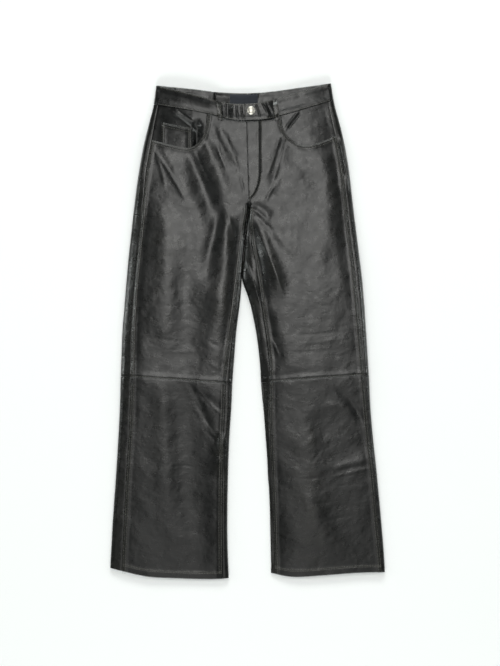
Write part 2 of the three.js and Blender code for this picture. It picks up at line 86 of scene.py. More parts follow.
# Plan of each leg at height y: side edge, outseam, inseam and inner edge.
PLAN = "y outer outseam inseam inner"
RIGHT_PLAN = table(
    PLAN,
    [520, -191, -187, -3, -3],
    [475, -197, -188, -3, -3],
    [435, -207, -195, -2.6, -2.6],
    [390, -218, -202.5, -1.5, -1.5],
    [340, -227, -211.5, 0, 0],
    [300, -233, -216, 1.3, 1.3],
    [264, -237.5, -220, 2, 3],
    [210, -243.5, -225.5, -7, -4],
    [150, -250, -231.5, -14, -9],
    [110, -253.5, -235.5, -18.5, -11.8],
    [75, -256.5, -238.5, -23, -14],
    [50, -258.5, -240, -26, -16.5],
    [0, -262.5, -243, -32.5, -23],
    [-50, -264.5, -244, -39, -27],
    [-105, -266.5, -245, -45.5, -31],
    [-160, -268, -246.5, -47.5, -33.5],
    [-220, -271, -249, -50, -37.5],
    [-300, -276, -254, -52, -40.5],
    [-400, -283, -259, -53, -42],
    [-460, -286.3, -262, -52.7, -41.2],
    [-520, -289.8, -264, -52.4, -39],
)
LEFT_PLAN = table(
    PLAN,
    [520, 175.5, 168, -3, -3],
    [475, 183.3, 170, -3, -3],
    [435, 194, 178.5, -2.6, -2.6],
    [390, 204.5, 189.5, -1.5, -1.5],
    [340, 213, 198.5, 0, 0],
    [300, 217.8, 204.5, 1.3, 1.3],
    [264, 221.8, 209, 4, 3],
    [210, 228.5, 214.5, 5.7, -4],
    [150, 236, 222, 15.5, -9],
    [110, 241, 226.5, 22, -11.6],
    [75, 244, 230, 27.5, 0],
    [50, 246, 232.5, 31, 7.4],
    [0, 249.3, 236.5, 38.5, 17.6],
    [-50, 252.5, 241, 44.5, 24.4],
    [-105, 256, 245.5, 46.5, 29],
    [-160, 258.5, 250, 46, 33.5],
    [-220, 263.5, 255.5, 47.5, 38],
    [-300, 272, 264.5, 51, 43.5],
    [-400, 281.3, 273, 54.5, 48.3],
    [-460, 286.4, 279, 56, 49.7],
    [-520, 290, 284, 56.5, 50.4],
)

# Height of the cloth's top at height y on the plan: in the middle of a leg and at its side edges.
LOFT = table(
    "y middle edge",
    [520, 13.5, 9.5],
    [450, 17, 11],
    [400, 19.5, 12],
    [264, 21, 13],
    [100, 21, 13],
    [0, 18.5, 12],
    [-90, 17.6, 11.5],
    [-200, 13.3, 10.6],
    [-300, 12.9, 10],
    [-450, 12, 9],
    [-520, 11, 8.5],
)

# Lines across the garment: y at each x.
BACK_TOP = table("x y", [-191, 516.5], [-110, 508.5], [-60, 502.3], [0, 500.2], [50, 503.7],
                 [110, 512], [176, 521])
FRONT_TOP = table("x y", [-190, 514.5], [-125, 499], [-77, 486], [-40, 478], [0, 476.7],
                  [30, 480], [64, 489], [110, 502], [175, 520])
WAIST_SEAM = table("x y", [-198, 475.5], [-135, 465.5], [-70, 453], [-38, 444], [-5, 441.5],
                   [50, 445], [68, 451], [110, 463], [170, 481], [186, 486])
RIGHT_KNEE = table("x y", [-267, -95.5], [-243, -96.5], [-50, -110], [-30, -113.5])
LEFT_KNEE = table("x y", [28, -109], [47, -107], [244, -92.5], [256, -91.5])
RIGHT_HEM = table("x y", [-290, -497.5], [-262, -504.5], [-212, -515.5], [-150, -519.3],
                  [-75, -521.2], [-39, -519])
LEFT_HEM = table("x y", [50, -508.5], [78, -514.5], [103, -516.6], [153, -513.7],
                 [229, -508], [290, -506.5])
RIGHT_MOUTH = table("x y", [-84, 456], [-86.5, 435], [-95, 406], [-119, 385], [-154, 388.5],
                    [-205, 402])
LEFT_MOUTH = table("x y", [69, 458], [73, 431], [85, 407.5], [112, 391], [140, 392],
                   [171, 403], [192, 412])

# How each leg slopes at height y: how far in the slope toward the side edge starts, and what share
# it and the slope toward the inner edge have of the full drop from middle to edge.
SLOPE = "y reach outer inner"
RIGHT_SLOPE = table(
    SLOPE,
    [520, 48, 0.9, 1],
    [440, 48, 0.9, 1],
    [390, 40, 0.3, 1],
    [330, 36, 0.3, 1],
    [240, 34, 1, 1],
    [170, 34, 1.2, 1],
    [-60, 36, 1.2, 1],
    [-110, 40, 1, 0.8],
    [-520, 40, 1.1, 0.7],
)
LEFT_SLOPE = table(
    SLOPE,
    [520, 50, 0.6, 1],
    [440, 52, 0.7, 1],
    [390, 56, 0.85, 1],
    [310, 58, 0.8, 1],
    [210, 56, 0.6, 1.5],
    [120, 44, 0.35, 1.4],
    [20, 36, 0.1, 1.4],
    [-60, 36, 0.1, 1.6],
    [-120, 40, 0.3, 2.6],
    [-520, 40, 0.3, 3],
)

RIGHT = SimpleNamespace(name="right", sign=-1, plan=RIGHT_PLAN, knee=RIGHT_KNEE, hem=RIGHT_HEM,
                        mouth=RIGHT_MOUTH, slope=RIGHT_SLOPE)
LEFT = SimpleNamespace(name="left", sign=1, plan=LEFT_PLAN, knee=LEFT_KNEE, hem=LEFT_HEM,
                       mouth=LEFT_MOUTH, slope=LEFT_SLOPE)

# Folds and creases that the wearer left: from one point to another, how far the middle swings to the
# left of that line, half width, and height. Soft ones are bells, sharp ones come to a crest. Each grows
# from 0.65 to 1.3 times its width along its length, and fades out over 0.3 of it at both ends.
FOLD = "x1 y1 x2 y2 bow width height"
FOLD_WIDENS = (0.65, 1.3)
FOLD_FADE = 0.3
SOFT_FOLDS = table(
    FOLD,
    [-186, 394, -108, 244, 4, 12, 0.9],
    [-136, 400, -58, 196, 5, 19, -3.8],
    [-104, 428, -38, 262, 6, 14, 1.9],
    [-64, 438, -14, 340, -4, 10, 1.2],
    [-52, 262, -88, 90, -6, 15, -2.6],
    [-42, 280, -48, -20, 0, 18, 2.4],
    [-132, 210, -128, -130, 0, 50, -3.6],
    [-62, 140, -64, -110, 0, 26, 2.2],
    [-172, 300, -166, -92, 0, 30, 3],
    [84, 424, 52, 288, -8, 8, -0.9],
    [168, 404, 178, 140, 0, 24, 1.7],
    [9, 268, 52, 236, 3, 8, -1.4],
    [4, 256, 74, 60, 8, 12, 2.6],
    [4, 224, 34, 40, 6, 9, -3],
    [30, 70, 62, -90, 3, 15, -2.2],
    [200, 428, 222, 286, 0, 15, 3.2],
    [-186, -104, -172, -320, 5, 24, 1.9],
    [-176, -240, -120, -500, -10, 26, 2.4],
    [-110, -126, -54, -168, 2, 8, -1],
    [-57, -206, -62, -310, 3, 10, 2.3],
    [-132, -20, -122, -580, 0, 50, -4],
    [-60, -150, -58, -545, 0, 24, 2.2],
    [148, -108, 150, -300, 3, 26, -0.5],
    [170, -292, 270, -270, 4, 9, 0.8],
    [180, -116, 240, -190, 6, 11, -1],
    [124, -100, 130, -560, 0, 40, 2.2],
    [77, 326, 60, 275, 0, 9, -0.8],
    [110, 349, 169, 359, 2, 8, 0.6],
    [104, 330, 170, 300, 3, 16, -0.6],
    [182, 230, 198, 30, 2, 14, 0.4],
    [47, 212, 110, 150, 2, 9, 0.7],
    [150, 250, 158, -90, 0, 26, 0.8],
    [100, 424, 96, 326, 0, 28, -1.5],
    [-150, 246, -142, 90, 6, 20, 1],
    [-129, -99, -74, -212, 3, 7, -0.9],
    [159, -153, 232, -178, 5, 8, 0.8],
    [203, -131, 249, -208, 3, 7, -0.8],
    [110, -330, 190, -480, 4, 20, 1],
)
SHARP_FOLDS = table(
    FOLD,
    [-204, 392, -124, 262, 3, 5, 1.3],
    [-196, 380, -172, 290, 4, 5, 0.9],
    [-62, 441, -9, 352, -4, 5, 0.4],
    [-66, 398, -40, 330, -2, 5, -0.9],
    [-50, 438, -16, 330, -3, 4, 0.4],
    [-74, 439, -40, 366, -3, 4, -0.3],
    [-112, 396, -70, 300, -4, 6, -0.6],
    [-20, 338, -7, 284, 2, 3, -0.7],
    [-32, 380, -16, 316, 2, 3, 0.6],
    [-45, 254, -24, 181, 3, 4, 0.8],
    [-163, 246, -100, 252, 1, 4, -0.3],
    [-188, 52, -100, 59, -1.5, 3, -0.35],
    [-173, 19, -104, 27, 1, 3, -0.25],
    [-205, -15, -121, -27, 2, 4, -0.3],
    [-184, -44, -68, -38, -2, 4, 0.3],
    [-89, -19, -45, -44, 2, 4, -0.6],
    [-70, -52, -41, -78, 1, 3.5, -0.6],
    [-83, -65, -53, -86, 1, 3, 0.6],
    [82, 424, 40, 286, 6, 4, -0.6],
    [72, 422, 34, 310, 4, 4, 0.5],
    [62, 310, 37, 262, -4, 4, 1],
    [81, 296, 123, 304, 1, 2.5, -0.35],
    [77, 284, 136, 298, -1, 2.5, -0.35],
    [89, 311, 148, 321, 1, 2.5, -0.3],
    [94, 374, 173, 378, -2, 5, -0.4],
    [3, 264, 46, 232, -1, 3, 1.4],
    [5, 256, 62, 204, -2, 4, -0.9],
    [3, 240, 80, 60, 6, 5, 0.9],
    [-12, 172, 30, 40, 3, 3, 1.2],
    [1, 200, 30, 70, 3, 3, 0.9],
    [49, -15, 68, -58, 1, 4, 0.9],
    [89, -10, 209, 0, -1, 4, -0.4],
    [102, -29, 215, -15, 1, 4, 0.35],
    [81, -48, 194, -38, -1, 5, -0.3],
    [-171, -288, -106, -286, 4, 3.5, -0.5],
    [-108, -116, -48, -182, -2, 3.5, 0.7],
    [-120, -130, -56, -230, -3, 4, -0.5],
    [-76, -237, -51, -292, 2, 3.5, 1],
    [-89, -208, -53, -242, -1, 5, -0.7],
    [193, 414, 213, 312, 2, 4.5, 2],
    [186, 410, 203, 310, 2, 3, 0.9],
    [189, 408, 207, 314, 2, 2.5, -1],
    [170, -309, 268, -286, 1, 2.8, 0.9],
    [170, -298, 268, -276, 1, 3, -0.6],
    [98, -313, 173, -304, -1, 3, -0.5],
    [129, -284, 157, -246, 0, 3, -0.4],
    [173, -328, 249, -319, 1, 3, -0.3],
    [110, -365, 205, -355, -1, 3, -0.3],
    [152, -401, 236, -384, 1, 3, -0.3],
    [-38, 483, -38, 440, 0, 2, 1.4],
    [-32, 481, -32, 440, 0, 1.8, -1.3],
    [-47, 483, -45, 440, 0.5, 2.5, 1],
    [-53, 483, -53, 440, 0, 2, -1.2],
    [-24, 479, -20, 440, 0, 2.5, -1.1],
    [-14, 477, -9, 440, 0, 2.5, 1],
    [26, 486, 47, 450, 0, 2.5, 1.4],
    [36, 486, 54, 450, 0, 2.5, -1.4],
    [16, 482, 28, 445, 0.5, 3, -0.9],
    [79, 458, 117, 468, 1, 4, 0.5],
    [-165, 466, -92, 412, -2, 5, 2],
    [-152, 468, -90, 424, -2, 4, -1.4],
    [80, 415, 116, 462, 1, 2.5, -1.3],
    [76, 420, 110, 464, 1, 3, 1.3],
    [-173, 422, -121, 414, 1, 4, -0.7],
    [-177, 410, -125, 405, -1, 4, 0.6],
)


def smooth(v):
    """0 below 0, 1 above 1, and a cubic S between."""
    v = np.clip(v, 0, 1)
    return v * v * (3 - 2 * v)


def lerp(a, b, t):
    """A share t of the way from a to b."""
    return a + (b - a) * t


def fold_height(x, y, folds, crest):
    """Height that folds add: along each a rise and fall, and across it a bell, exp(-q squared), or
    where crest is true a peak, exp(-2|q|), with q the distance from its line over its half width,
    which grows along the fold. Both its ends fade out."""
    total = np.zeros(np.broadcast(x, y).shape)
    for x1, y1, x2, y2, bow, width, height in zip(*folds.values()):
        dx, dy = x2 - x1, y2 - y1
        length = np.hypot(dx, dy)
        along = ((x - x1) * dx + (y - y1) * dy) / length**2
        swing = bow * 4 * along * (1 - along)
        spread = width * lerp(*FOLD_WIDENS, np.clip(along, 0, 1))
        q = (((y - y1) * dx - (x - x1) * dy) / length - swing) / spread
        across = np.exp(-2 * np.abs(q)) if crest else np.exp(-q * q)
        total += height * smooth(along / FOLD_FADE) * smooth((1 - along) / FOLD_FADE) * across
    return total


def hills(x, y, size, seed):
    """Random soft hills between -1 and 1: seeded heights on a square lattice with this pitch, blended
    between its points by a quintic S."""
    lattice = np.random.default_rng(seed).uniform(-1, 1, (128, 128))
    u, v = x / size + 64, y / size + 64
    i, j = np.floor(u).astype(int), np.floor(v).astype(int)
    a, b = u - i, v - j
    a, b = (t**3 * (t * (6 * t - 15) + 10) for t in (a, b))
    i, j = i % 127, j % 127
    low = lerp(lattice[i, j], lattice[i + 1, j], a)
    return lerp(low, lerp(lattice[i, j + 1], lattice[i + 1, j + 1], a), b)


# What handling leaves in soft hide: layers of low hills, each with its height, pitch and seed, and how
# the plan is stretched and slanted under it, so that most run longer across the legs than along them.
SWELLS = table(
    "height pitch seed across slant_across slant_along along",
    [0.5, 44, 3, 0.9, 0, 0.3, 1.1],
    [0.2, 19, 5, 1, -0.4, 0, 1],
    [0.06, 8, 7, 0.8, 0, 0.2, 1.2],
)


def crumple(x, y):
    """The sum of the layers of low hills."""
    total = 0
    for height, pitch, seed, across, slant_across, slant_along, stretch in zip(*SWELLS.values()):
        u, v = across * x + slant_across * y, slant_along * x + stretch * y
        total = total + height * hills(u, v, pitch, int(seed))
    return total


def inner_edge(leg, y):
    """x of a leg's inner edge, half a gap clear of the line between the legs."""
    return read(leg.plan, "inner", y) + leg.sign * GAP / 2


def turn(distance):
    """Quarter circle: 0 at an edge, 1 at TURN_RADIUS from it and beyond."""
    return np.sqrt(1 - (1 - np.clip(distance / TURN_RADIUS, 0, 1)) ** 2)


def hinge(v, softness=0.1):
    """0 for low v and v for high v, with a soft bend between: half of v plus the root of v squared
    plus the softness."""
    return (v + np.sqrt(v * v + softness)) / 2


def top_height(leg, x, y):
    """Height of the cloth's top: the loft, lower by a ramp toward the side edge and an exponential
    toward the inner one, plus folds, swells and the ridge over the knee seam, all turned down by a
    quarter circle at the edges."""
    outer = np.maximum(0, leg.sign * (read(leg.plan, "outer", y) - x))
    inner = np.maximum(0, leg.sign * (x - inner_edge(leg, y)))
    inner = inner + CROTCH_SPREAD * np.maximum(0, y - CROTCH_Y)
    edge, middle = read(LOFT, "edge", y), read(LOFT, "middle", y)
    near_crotch = 1 - CROTCH_FILL * smooth((y - CROTCH_Y) / CROTCH_BLEND + 1)
    fall = hinge(1 - outer / read(leg.slope, "reach", y)) * read(leg.slope, "outer", y)
    fall = fall + np.exp(-inner / EDGE_FALL) * near_crotch * read(leg.slope, "inner", y)
    over_seam = y - read(leg.knee, "y", x) - KNEE_RIDGE.above
    ridge = KNEE_RIDGE.height * np.exp(-((over_seam / KNEE_RIDGE.width) ** 2))
    ridge *= KNEE_RIDGE.mean + KNEE_RIDGE.uneven * hills(x, y, KNEE_RIDGE.pitch, KNEE_RIDGE.seed)
    folds = fold_height(x, y, SOFT_FOLDS, False) + fold_height(x, y, SHARP_FOLDS, True)
    arch = middle - (middle - edge) * fall + folds + crumple(x, y) + ridge
    return edge / 2 + (arch - edge / 2) * turn(outer) * turn(inner)


# A turned edge: how far its rim rolls down, over what width, how far the doubled ply under it raises
# it and reaches, the pillow between its two rows of stitching, and the grooves that they are drawn into.
# A shin front is tucked in a little under the thigh's turned edge.
EDGE = SimpleNamespace(roll=1.1, radius=1.7, ply=0.8, ply_width=13.0, ply_fade=8.0, pillow=0.45,
                       pillow_width=1.5)
STITCH_ROWS = (2.0, 6.4)
KNEE_ROWS = (2.2,)
KNEE_TUCK = SimpleNamespace(depth=0.5, reach=2.0)
GROOVE = SimpleNamespace(depth=0.2, width=0.8)


def turned_edge(distance, rows=STITCH_ROWS):
    """Height that a turned, topstitched edge adds at a distance from its rim: a doubled ply that fades
    out inside, a rolled rim, and a bell-shaped groove under each row of stitches."""
    rim = 1 - np.sqrt(1 - (1 - np.clip(distance / EDGE.radius, 0, 1)) ** 2)
    height = EDGE.ply * smooth((EDGE.ply_width - distance) / EDGE.ply_fade) - EDGE.roll * rim
    if len(rows) > 1:
        height = height + EDGE.pillow * np.exp(-(((distance - np.mean(rows)) / EDGE.pillow_width) ** 2))
    for row in rows:
        height = height - GROOVE.depth * np.exp(-(((distance - row) / GROOVE.width) ** 2))
    return height


def distance_to_line(x, y, line, slice_size=4000):
    """Least distance from each point to a line's points, worked out in slices to save memory."""
    flat = np.stack([np.ravel(x), np.ravel(y)], -1)
    parts = np.array_split(flat, max(1, len(flat) // slice_size))
    near = [np.sqrt(((p[:, None] - line[None]) ** 2).sum(-1).min(1)) for p in parts]
    return np.concatenate(near).reshape(np.shape(x))


def along(points, places):
    """Points of an open line at these shares of its length."""
    length = np.concatenate([[0], np.cumsum(np.linalg.norm(np.diff(points, axis=0), axis=1))])
    want = np.asarray(places) * length[-1]
    return np.stack([np.interp(want, length, c) for c in points.T], -1)


def line_between(rows, start, end, count=400):
    """Points along one of the lines across the garment."""
    x = np.linspace(start, end, count)
    return np.stack([x, read(rows, "y", x)], -1)


# How far in from an edge the first grid lines lie, close enough for the rolled rim and the grooves.
RIM_STEPS = np.array([0, 0.35, 0.8, 1.3, 1.7, 2.1, 2.6, 3.4, 4.6, 5.6, 6.2, 6.7, 7.4, 8.6, 10, 12])


def steps(length, count):
    """Places from 0 to 1 along a length, close together near both ends, where the seams are."""
    rim = RIM_STEPS / length
    rest = np.linspace(rim[-1], 1 - rim[-1], count - 2 * len(rim) + 2)
    return np.concatenate([rim[:-1], rest, (1 - rim[:-1])[::-1]])


def front_x(leg, y, share):
    """x in a front panel at height y, a share of the way from its outseam to its inseam."""
    out = read(leg.plan, "outseam", y) - leg.sign * GAP / 2
    return lerp(out, read(leg.plan, "inseam", y) + leg.sign * GAP / 2, share)


# The fly's facing thickens the left front inside a stitched J: its width, where it bends and ends,
# and how far below the band its two rows of stitching start.
FLY = SimpleNamespace(width=28.5, inner_row=21.7, bend=338.0, foot=276.0, inner_foot=281.0, ply=1.3,
                      fade=3.5, start=1.5)
FLY_ROWS = ((FLY.width, FLY.foot), (FLY.inner_row, FLY.inner_foot))


def fly_line(width, foot):
    """The J-shaped line of the fly's stitching: straight down, then a quarter ellipse to the edge."""
    angle = np.linspace(0, np.pi / 2, 60)
    bend = np.stack([width * np.cos(angle), FLY.bend - (FLY.bend - foot) * np.sin(angle)], -1)
    return np.concatenate([[[width, read(WAIST_SEAM, "y", width) - FLY.start]], bend])


def fly_ply(x, y):
    """How much the facing adds: its full ply inside the outer J, and none outside."""
    drop = np.clip((FLY.bend - y) / (FLY.bend - FLY.foot), 0, 1)
    edge = FLY.width * np.sqrt(1 - drop**2)
    return np.where(y < FLY.foot, 0, FLY.ply * smooth((edge - x) / FLY.fade))


MOUTH_SEAM_Y = 405.0  # where a pocket's mouth meets the outseam


def mouth_line(leg):
    """The scooped mouth of a hand pocket, from the outseam up to the waist seam."""
    ends = leg.mouth["x"][[0, -1]][:: -leg.sign]
    seam = read(leg.plan, "outseam", MOUTH_SEAM_Y) - leg.sign * GAP / 2
    line = line_between(leg.mouth, seam, ends[-1], 1200)
    return along(line, np.linspace(0, 1, 500))


# Where a front runs in under the band, the slope of the fly's front edge, and over what height the
# inseam's turned edge starts below the crotch.
WAIST_TUCK = SimpleNamespace(depth=1.1, reach=3.5)
CENTRE = SimpleNamespace(width=3.0, slope=0.12)
INSEAM_FADE = 8.0


def front_surface(leg, x, y):
    """Height of a front's outer face: the cloth's top, its turned and stitched edges, the fly's facing
    on the left one, and the tucks where it runs in under the thigh's edge and the waistband."""
    outseam = leg.sign * (read(leg.plan, "outseam", y) - x)
    height = top_height(leg, x, y) + turned_edge(outseam)
    inseam = leg.sign * (x - read(leg.plan, "inseam", y))
    height = height + turned_edge(inseam) * smooth((CROTCH_Y - y) / INSEAM_FADE)
    if leg is LEFT:
        drop = CENTRE.slope * CENTRE.width * hinge(1 - inseam / CENTRE.width)
        height = height - drop * smooth((y - CROTCH_Y) / INSEAM_FADE) + fly_ply(x, y)
        for width, foot in FLY_ROWS:
            near = distance_to_line(x, y, along(fly_line(width, foot), np.linspace(0, 1, 300)))
            height = height - GROOVE.depth * np.exp(-((near / GROOVE.width) ** 2))
    knee = read(leg.knee, "y", x)
    thigh = y > knee
    height = height + np.where(thigh, turned_edge(y - knee, KNEE_ROWS), 0)
    height = height - np.where(thigh, 0, KNEE_TUCK.depth * np.exp(-(knee - y) / KNEE_TUCK.reach))
    mouth = distance_to_line(x, y, MOUTHS[leg.name])
    height = height + turned_edge(mouth)
    band = read(WAIST_SEAM, "y", x) - y
    return height - WAIST_TUCK.depth * np.exp(-np.maximum(band, 0) / WAIST_TUCK.reach)


MOUTHS = {leg.name: mouth_line(leg) for leg in (RIGHT, LEFT)}


def srgb(code):
    """Linear colour from an sRGB hex value."""
    c = np.array([int(code[i:i + 2], 16) / 255 for i in (1, 3, 5)])
    linear = np.where(c <= 0.04045, c / 12.92, ((c + 0.055) / 1.055) ** 2.4)
    return (*linear.tolist(), 1.0)


def node(material, kind, inputs=None, **settings):
    """Adds a node to a material with its settings. Each input is a value or the socket that feeds it."""
    made = material.node_tree.nodes.new(kind)
    for key, value in settings.items():
        setattr(made, key, value)
    for key, value in (inputs or {}).items():
        if isinstance(value, bpy.types.NodeSocket):
            material.node_tree.links.new(value, made.inputs[key])
        else:
            made.inputs[key].default_value = value
    return made


def blank(name):
    """A new material with no nodes."""
    material = bpy.data.materials.new(name)
    material.use_nodes = True
    material.node_tree.nodes.clear()
    return material


def nappa():
    """Drum-dyed lamb nappa, finished with a thin clear coat: a soft gloss, broken by its fine grain and
    by the wrinkles of use, and a little browner and smoother where it rubs."""
    m = blank("nappa_black")
    place = node(m, "ShaderNodeTexCoord").outputs["Object"]
    cloud = node(m, "ShaderNodeTexNoise", {"Vector": place, "Scale": 1 / 0.055, "Detail": 4.0,
                                           "Roughness": 0.6})
    patch = node(m, "ShaderNodeTexNoise", {"Vector": place, "Scale": 1 / 0.014, "Detail": 3.0,
                                           "Roughness": 0.55})
    tone = node(m, "ShaderNodeMixRGB", {"Fac": cloud.outputs["Fac"], "Color1": srgb("#070808"),
                                        "Color2": srgb("#111211")})
    rub = node(m, "ShaderNodeAttribute", attribute_name="rub")
    worn = node(m, "ShaderNodeMixRGB", {"Fac": rub.outputs["Fac"], "Color1": tone.outputs["Color"],
                                        "Color2": srgb("#262520")})
    gloss = node(m, "ShaderNodeMapRange", {"Value": patch.outputs["Fac"], "From Min": 0.3,
                                           "From Max": 0.7, "To Min": 0.25, "To Max": 0.34})
    rubbed = node(m, "ShaderNodeMath", {0: rub.outputs["Fac"], 1: -0.06, 2: gloss.outputs["Result"]},
                  operation="MULTIPLY_ADD")
    # Mottling of 13 mm, fine wrinkles of 10 by 5 mm across the legs, and a grain of 4 mm, five times the
    # real one so that it shows.
    mottle = node(m, "ShaderNodeTexNoise", {"Vector": place, "Scale": 1 / 0.013, "Detail": 1.0,
                                            "Roughness": 0.5})
    stretched = node(m, "ShaderNodeVectorMath", {0: place, 1: (0.5, 1.0, 1.0)}, operation="MULTIPLY")
    wrinkle = node(m, "ShaderNodeTexNoise", {"Vector": stretched.outputs["Vector"], "Scale": 1 / 0.005,
                                             "Detail": 1.0, "Roughness": 0.5, "Distortion": 0.5})
    grain = node(m, "ShaderNodeTexVoronoi", {"Vector": place, "Scale": 1 / 0.004},
                 feature="DISTANCE_TO_EDGE")
    soft = node(m, "ShaderNodeBump", {"Height": mottle.outputs["Fac"], "Strength": 1.0,
                                      "Distance": 0.0004})
    low = node(m, "ShaderNodeBump", {"Height": wrinkle.outputs["Fac"], "Strength": 0.6,
                                     "Distance": 0.0003, "Normal": soft.outputs["Normal"]})
    top = node(m, "ShaderNodeBump", {"Height": grain.outputs["Distance"], "Strength": 0.3,
                                     "Distance": 0.0002, "Normal": low.outputs["Normal"]})
    skin = node(m, "ShaderNodeBsdfPrincipled", {
        "Base Color": worn.outputs["Color"], "Roughness": rubbed.outputs["Value"],
        "Normal": top.outputs["Normal"], "IOR": 1.5, "Specular IOR Level": 0.5,
        "Coat Weight": 0.1, "Coat Roughness": 0.2})
    node(m, "ShaderNodeOutputMaterial", {"Surface": skin.outputs["BSDF"]})
    return m


def flesh_side():
    """The split, fluffy inside of the hide, dyed through: dull, with a short nap."""
    m = blank("flesh_side_black")
    place = node(m, "ShaderNodeTexCoord").outputs["Object"]
    nap = node(m, "ShaderNodeTexNoise", {"Vector": place, "Scale": 1 / 0.0012, "Detail": 4.0})
    tone = node(m, "ShaderNodeMixRGB", {"Fac": nap.outputs["Fac"], "Color1": srgb("#101010"),
                                        "Color2": srgb("#242423")})
    bump = node(m, "ShaderNodeBump", {"Height": nap.outputs["Fac"], "Strength": 0.6,
                                      "Distance": 0.0003})
    skin = node(m, "ShaderNodeBsdfPrincipled", {
        "Base Color": tone.outputs["Color"], "Roughness": 0.9, "Normal": bump.outputs["Normal"],
        "Sheen Weight": 0.2, "Sheen Roughness": 0.5})
    node(m, "ShaderNodeOutputMaterial", {"Surface": skin.outputs["BSDF"]})
    return m


NAPPA = nappa()
LINED = (NAPPA, flesh_side())


def build(name, points, faces, materials, inside_from=None, rub=None, crease_angle=50):
    """A piece of the garment from points in millimetres. Faces from inside_from on take the second
    material, if there is one, and rub, one number for each point, says how worn it is."""
    mesh = bpy.data.meshes.new(name)
    mesh.from_pydata(((points + TO_FRAME) * MM).tolist(), [], faces)
    for material in materials:
        mesh.materials.append(material)
    if inside_from is not None:
        mesh.polygons.foreach_set("material_index", (np.arange(len(faces)) >= inside_from).astype("i"))
    worn = mesh.attributes.new("rub", "FLOAT", "POINT")
    worn.data.foreach_set("value", np.zeros(len(points)) if rub is None else np.ravel(rub))
    mesh.shade_smooth()
    mesh.set_sharp_from_angle(angle=np.radians(crease_angle))
    mesh.update()
    piece = bpy.data.objects.new(name, mesh)
    bpy.context.scene.collection.objects.link(piece)
    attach(piece, "root")
    return piece


def cloth(name, outside, thickness, outward, rub=None, materials=(NAPPA,)):
    """A closed wall: a grid of points is its outer face, and the inner one lies a thickness behind it,
    along the grid's normals. Outward is 1 where columns cross rows to the outside, and -1 if not. A
    second material is for the inner face."""
    across, down = np.gradient(outside, axis=1), np.gradient(outside, axis=0)
    normal = np.cross(across, down)
    normal *= outward / np.maximum(np.linalg.norm(normal, axis=-1, keepdims=True), 1e-9)
    inside = outside - normal * np.broadcast_to(thickness, outside.shape[:2])[..., None]
    rows, columns = outside.shape[:2]
    index = np.arange(rows * columns).reshape(rows, columns)
    half = index.size
    quads = np.stack([index[:-1, :-1], index[:-1, 1:], index[1:, 1:], index[1:, :-1]], -1).reshape(-1, 4)
    rim = np.concatenate([index[0, :-1], index[:-1, -1], index[-1, :0:-1], index[:0:-1, 0]])
    after = np.roll(rim, -1)
    walls = np.stack([after, rim, rim + half, after + half], -1)
    faces = np.concatenate([quads, walls, quads[:, ::-1] + half])
    if outward < 0:
        faces = faces[:, ::-1]
    points = np.concatenate([outside.reshape(-1, 3), inside.reshape(-1, 3)])
    worn = None if rub is None else np.concatenate([np.ravel(rub), np.zeros(half)])
    inside_from = len(quads) + len(walls) if len(materials) > 1 else None
    return build(name, points, faces.tolist(), materials, inside_from, worn)


# Lengths in millimetres and numbers of points of the thigh front's grid, and how fast its columns
# spread out below its border.
THIGH = SimpleNamespace(mouth=170, mouth_points=78, waist=80, waist_points=52, length=540, rows=210,
                        spread=1.3)
CENTRE_TOP_Y = 441.0  # where the centre front meets the waist seam


def thigh_front(leg):
    """Columns start along the pocket mouth and the waist seam, as close together as those lines are
    long, and spread out evenly on the way to the knee. Rows run from that border to the knee seam."""
    corner = MOUTHS[leg.name][-1]
    foot_width = abs(front_x(leg, KNEE_Y, 0) - front_x(leg, KNEE_Y, 1))
    mouth = along(MOUTHS[leg.name], steps(THIGH.mouth, THIGH.mouth_points))
    centre = front_x(leg, CENTRE_TOP_Y, 1)
    waist = line_between(WAIST_SEAM, corner[0], centre, 200) - [0, GAP / 2]
    waist[0] = corner
    border = np.concatenate([mouth, along(waist, steps(THIGH.waist, THIGH.waist_points))[1:]])
    top_x, top_y = border.T
    out, into = front_x(leg, top_y, 0), front_x(leg, top_y, 1)
    top_share = (top_x - out) / (into - out)
    foot_share = steps(foot_width, len(border))
    foot_y = read(leg.knee, "y", front_x(leg, KNEE_Y, foot_share)) + GAP / 2
    down = steps(THIGH.length, THIGH.rows)[:, None]
    share = lerp(top_share, foot_share, smooth(down * THIGH.spread))
    y = lerp(top_y, foot_y, down)
    return front_x(leg, y, share), y


# How much a millimetre of fold and the outseam add to the wear, and the hills that break it up.
RUB = SimpleNamespace(fold=0.12, edge=0.35, reach=4.0, pitch=17, seed=23)


def rub_of(leg, x, y):
    """Wear: most on raised folds and along the outseam, broken up by hills."""
    ridge = fold_height(x, y, SOFT_FOLDS, False) + fold_height(x, y, SHARP_FOLDS, True)
    edge = np.exp(-np.abs(read(leg.plan, "outseam", y) - x) / RUB.reach)
    patchy = 0.5 + 0.5 * hills(x, y, RUB.pitch, RUB.seed)
    return np.clip(RUB.fold * np.maximum(ridge, 0) + RUB.edge * edge, 0, 1) * patchy


SHEETS = {}
for leg in (RIGHT, LEFT):
    x, y = thigh_front(leg)
    z = front_surface(leg, x, y)
    ply = fly_ply(x, y) if leg is LEFT else 0
    name = f"thigh_front_{leg.name}"
    SHEETS[name] = cloth(name, np.stack([x, y, z], -1), LEATHER + ply, leg.sign,
                         rub_of(leg, x, y), LINED)
    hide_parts(f"front_upper_{leg.name}")


# Shin fronts: a panel below each knee seam. Its top edge runs in under the thigh's turned edge, and its
# hem is turned up inside and held by two rows of stitching.
HEM_TURN = 14.0
HEM_PLY = SimpleNamespace(rise=0.7, fade=3.0)
HEM_ROWS = (12.0, 15.0)
SHIN = SimpleNamespace(width=200, columns=104, length=415, rows=170)


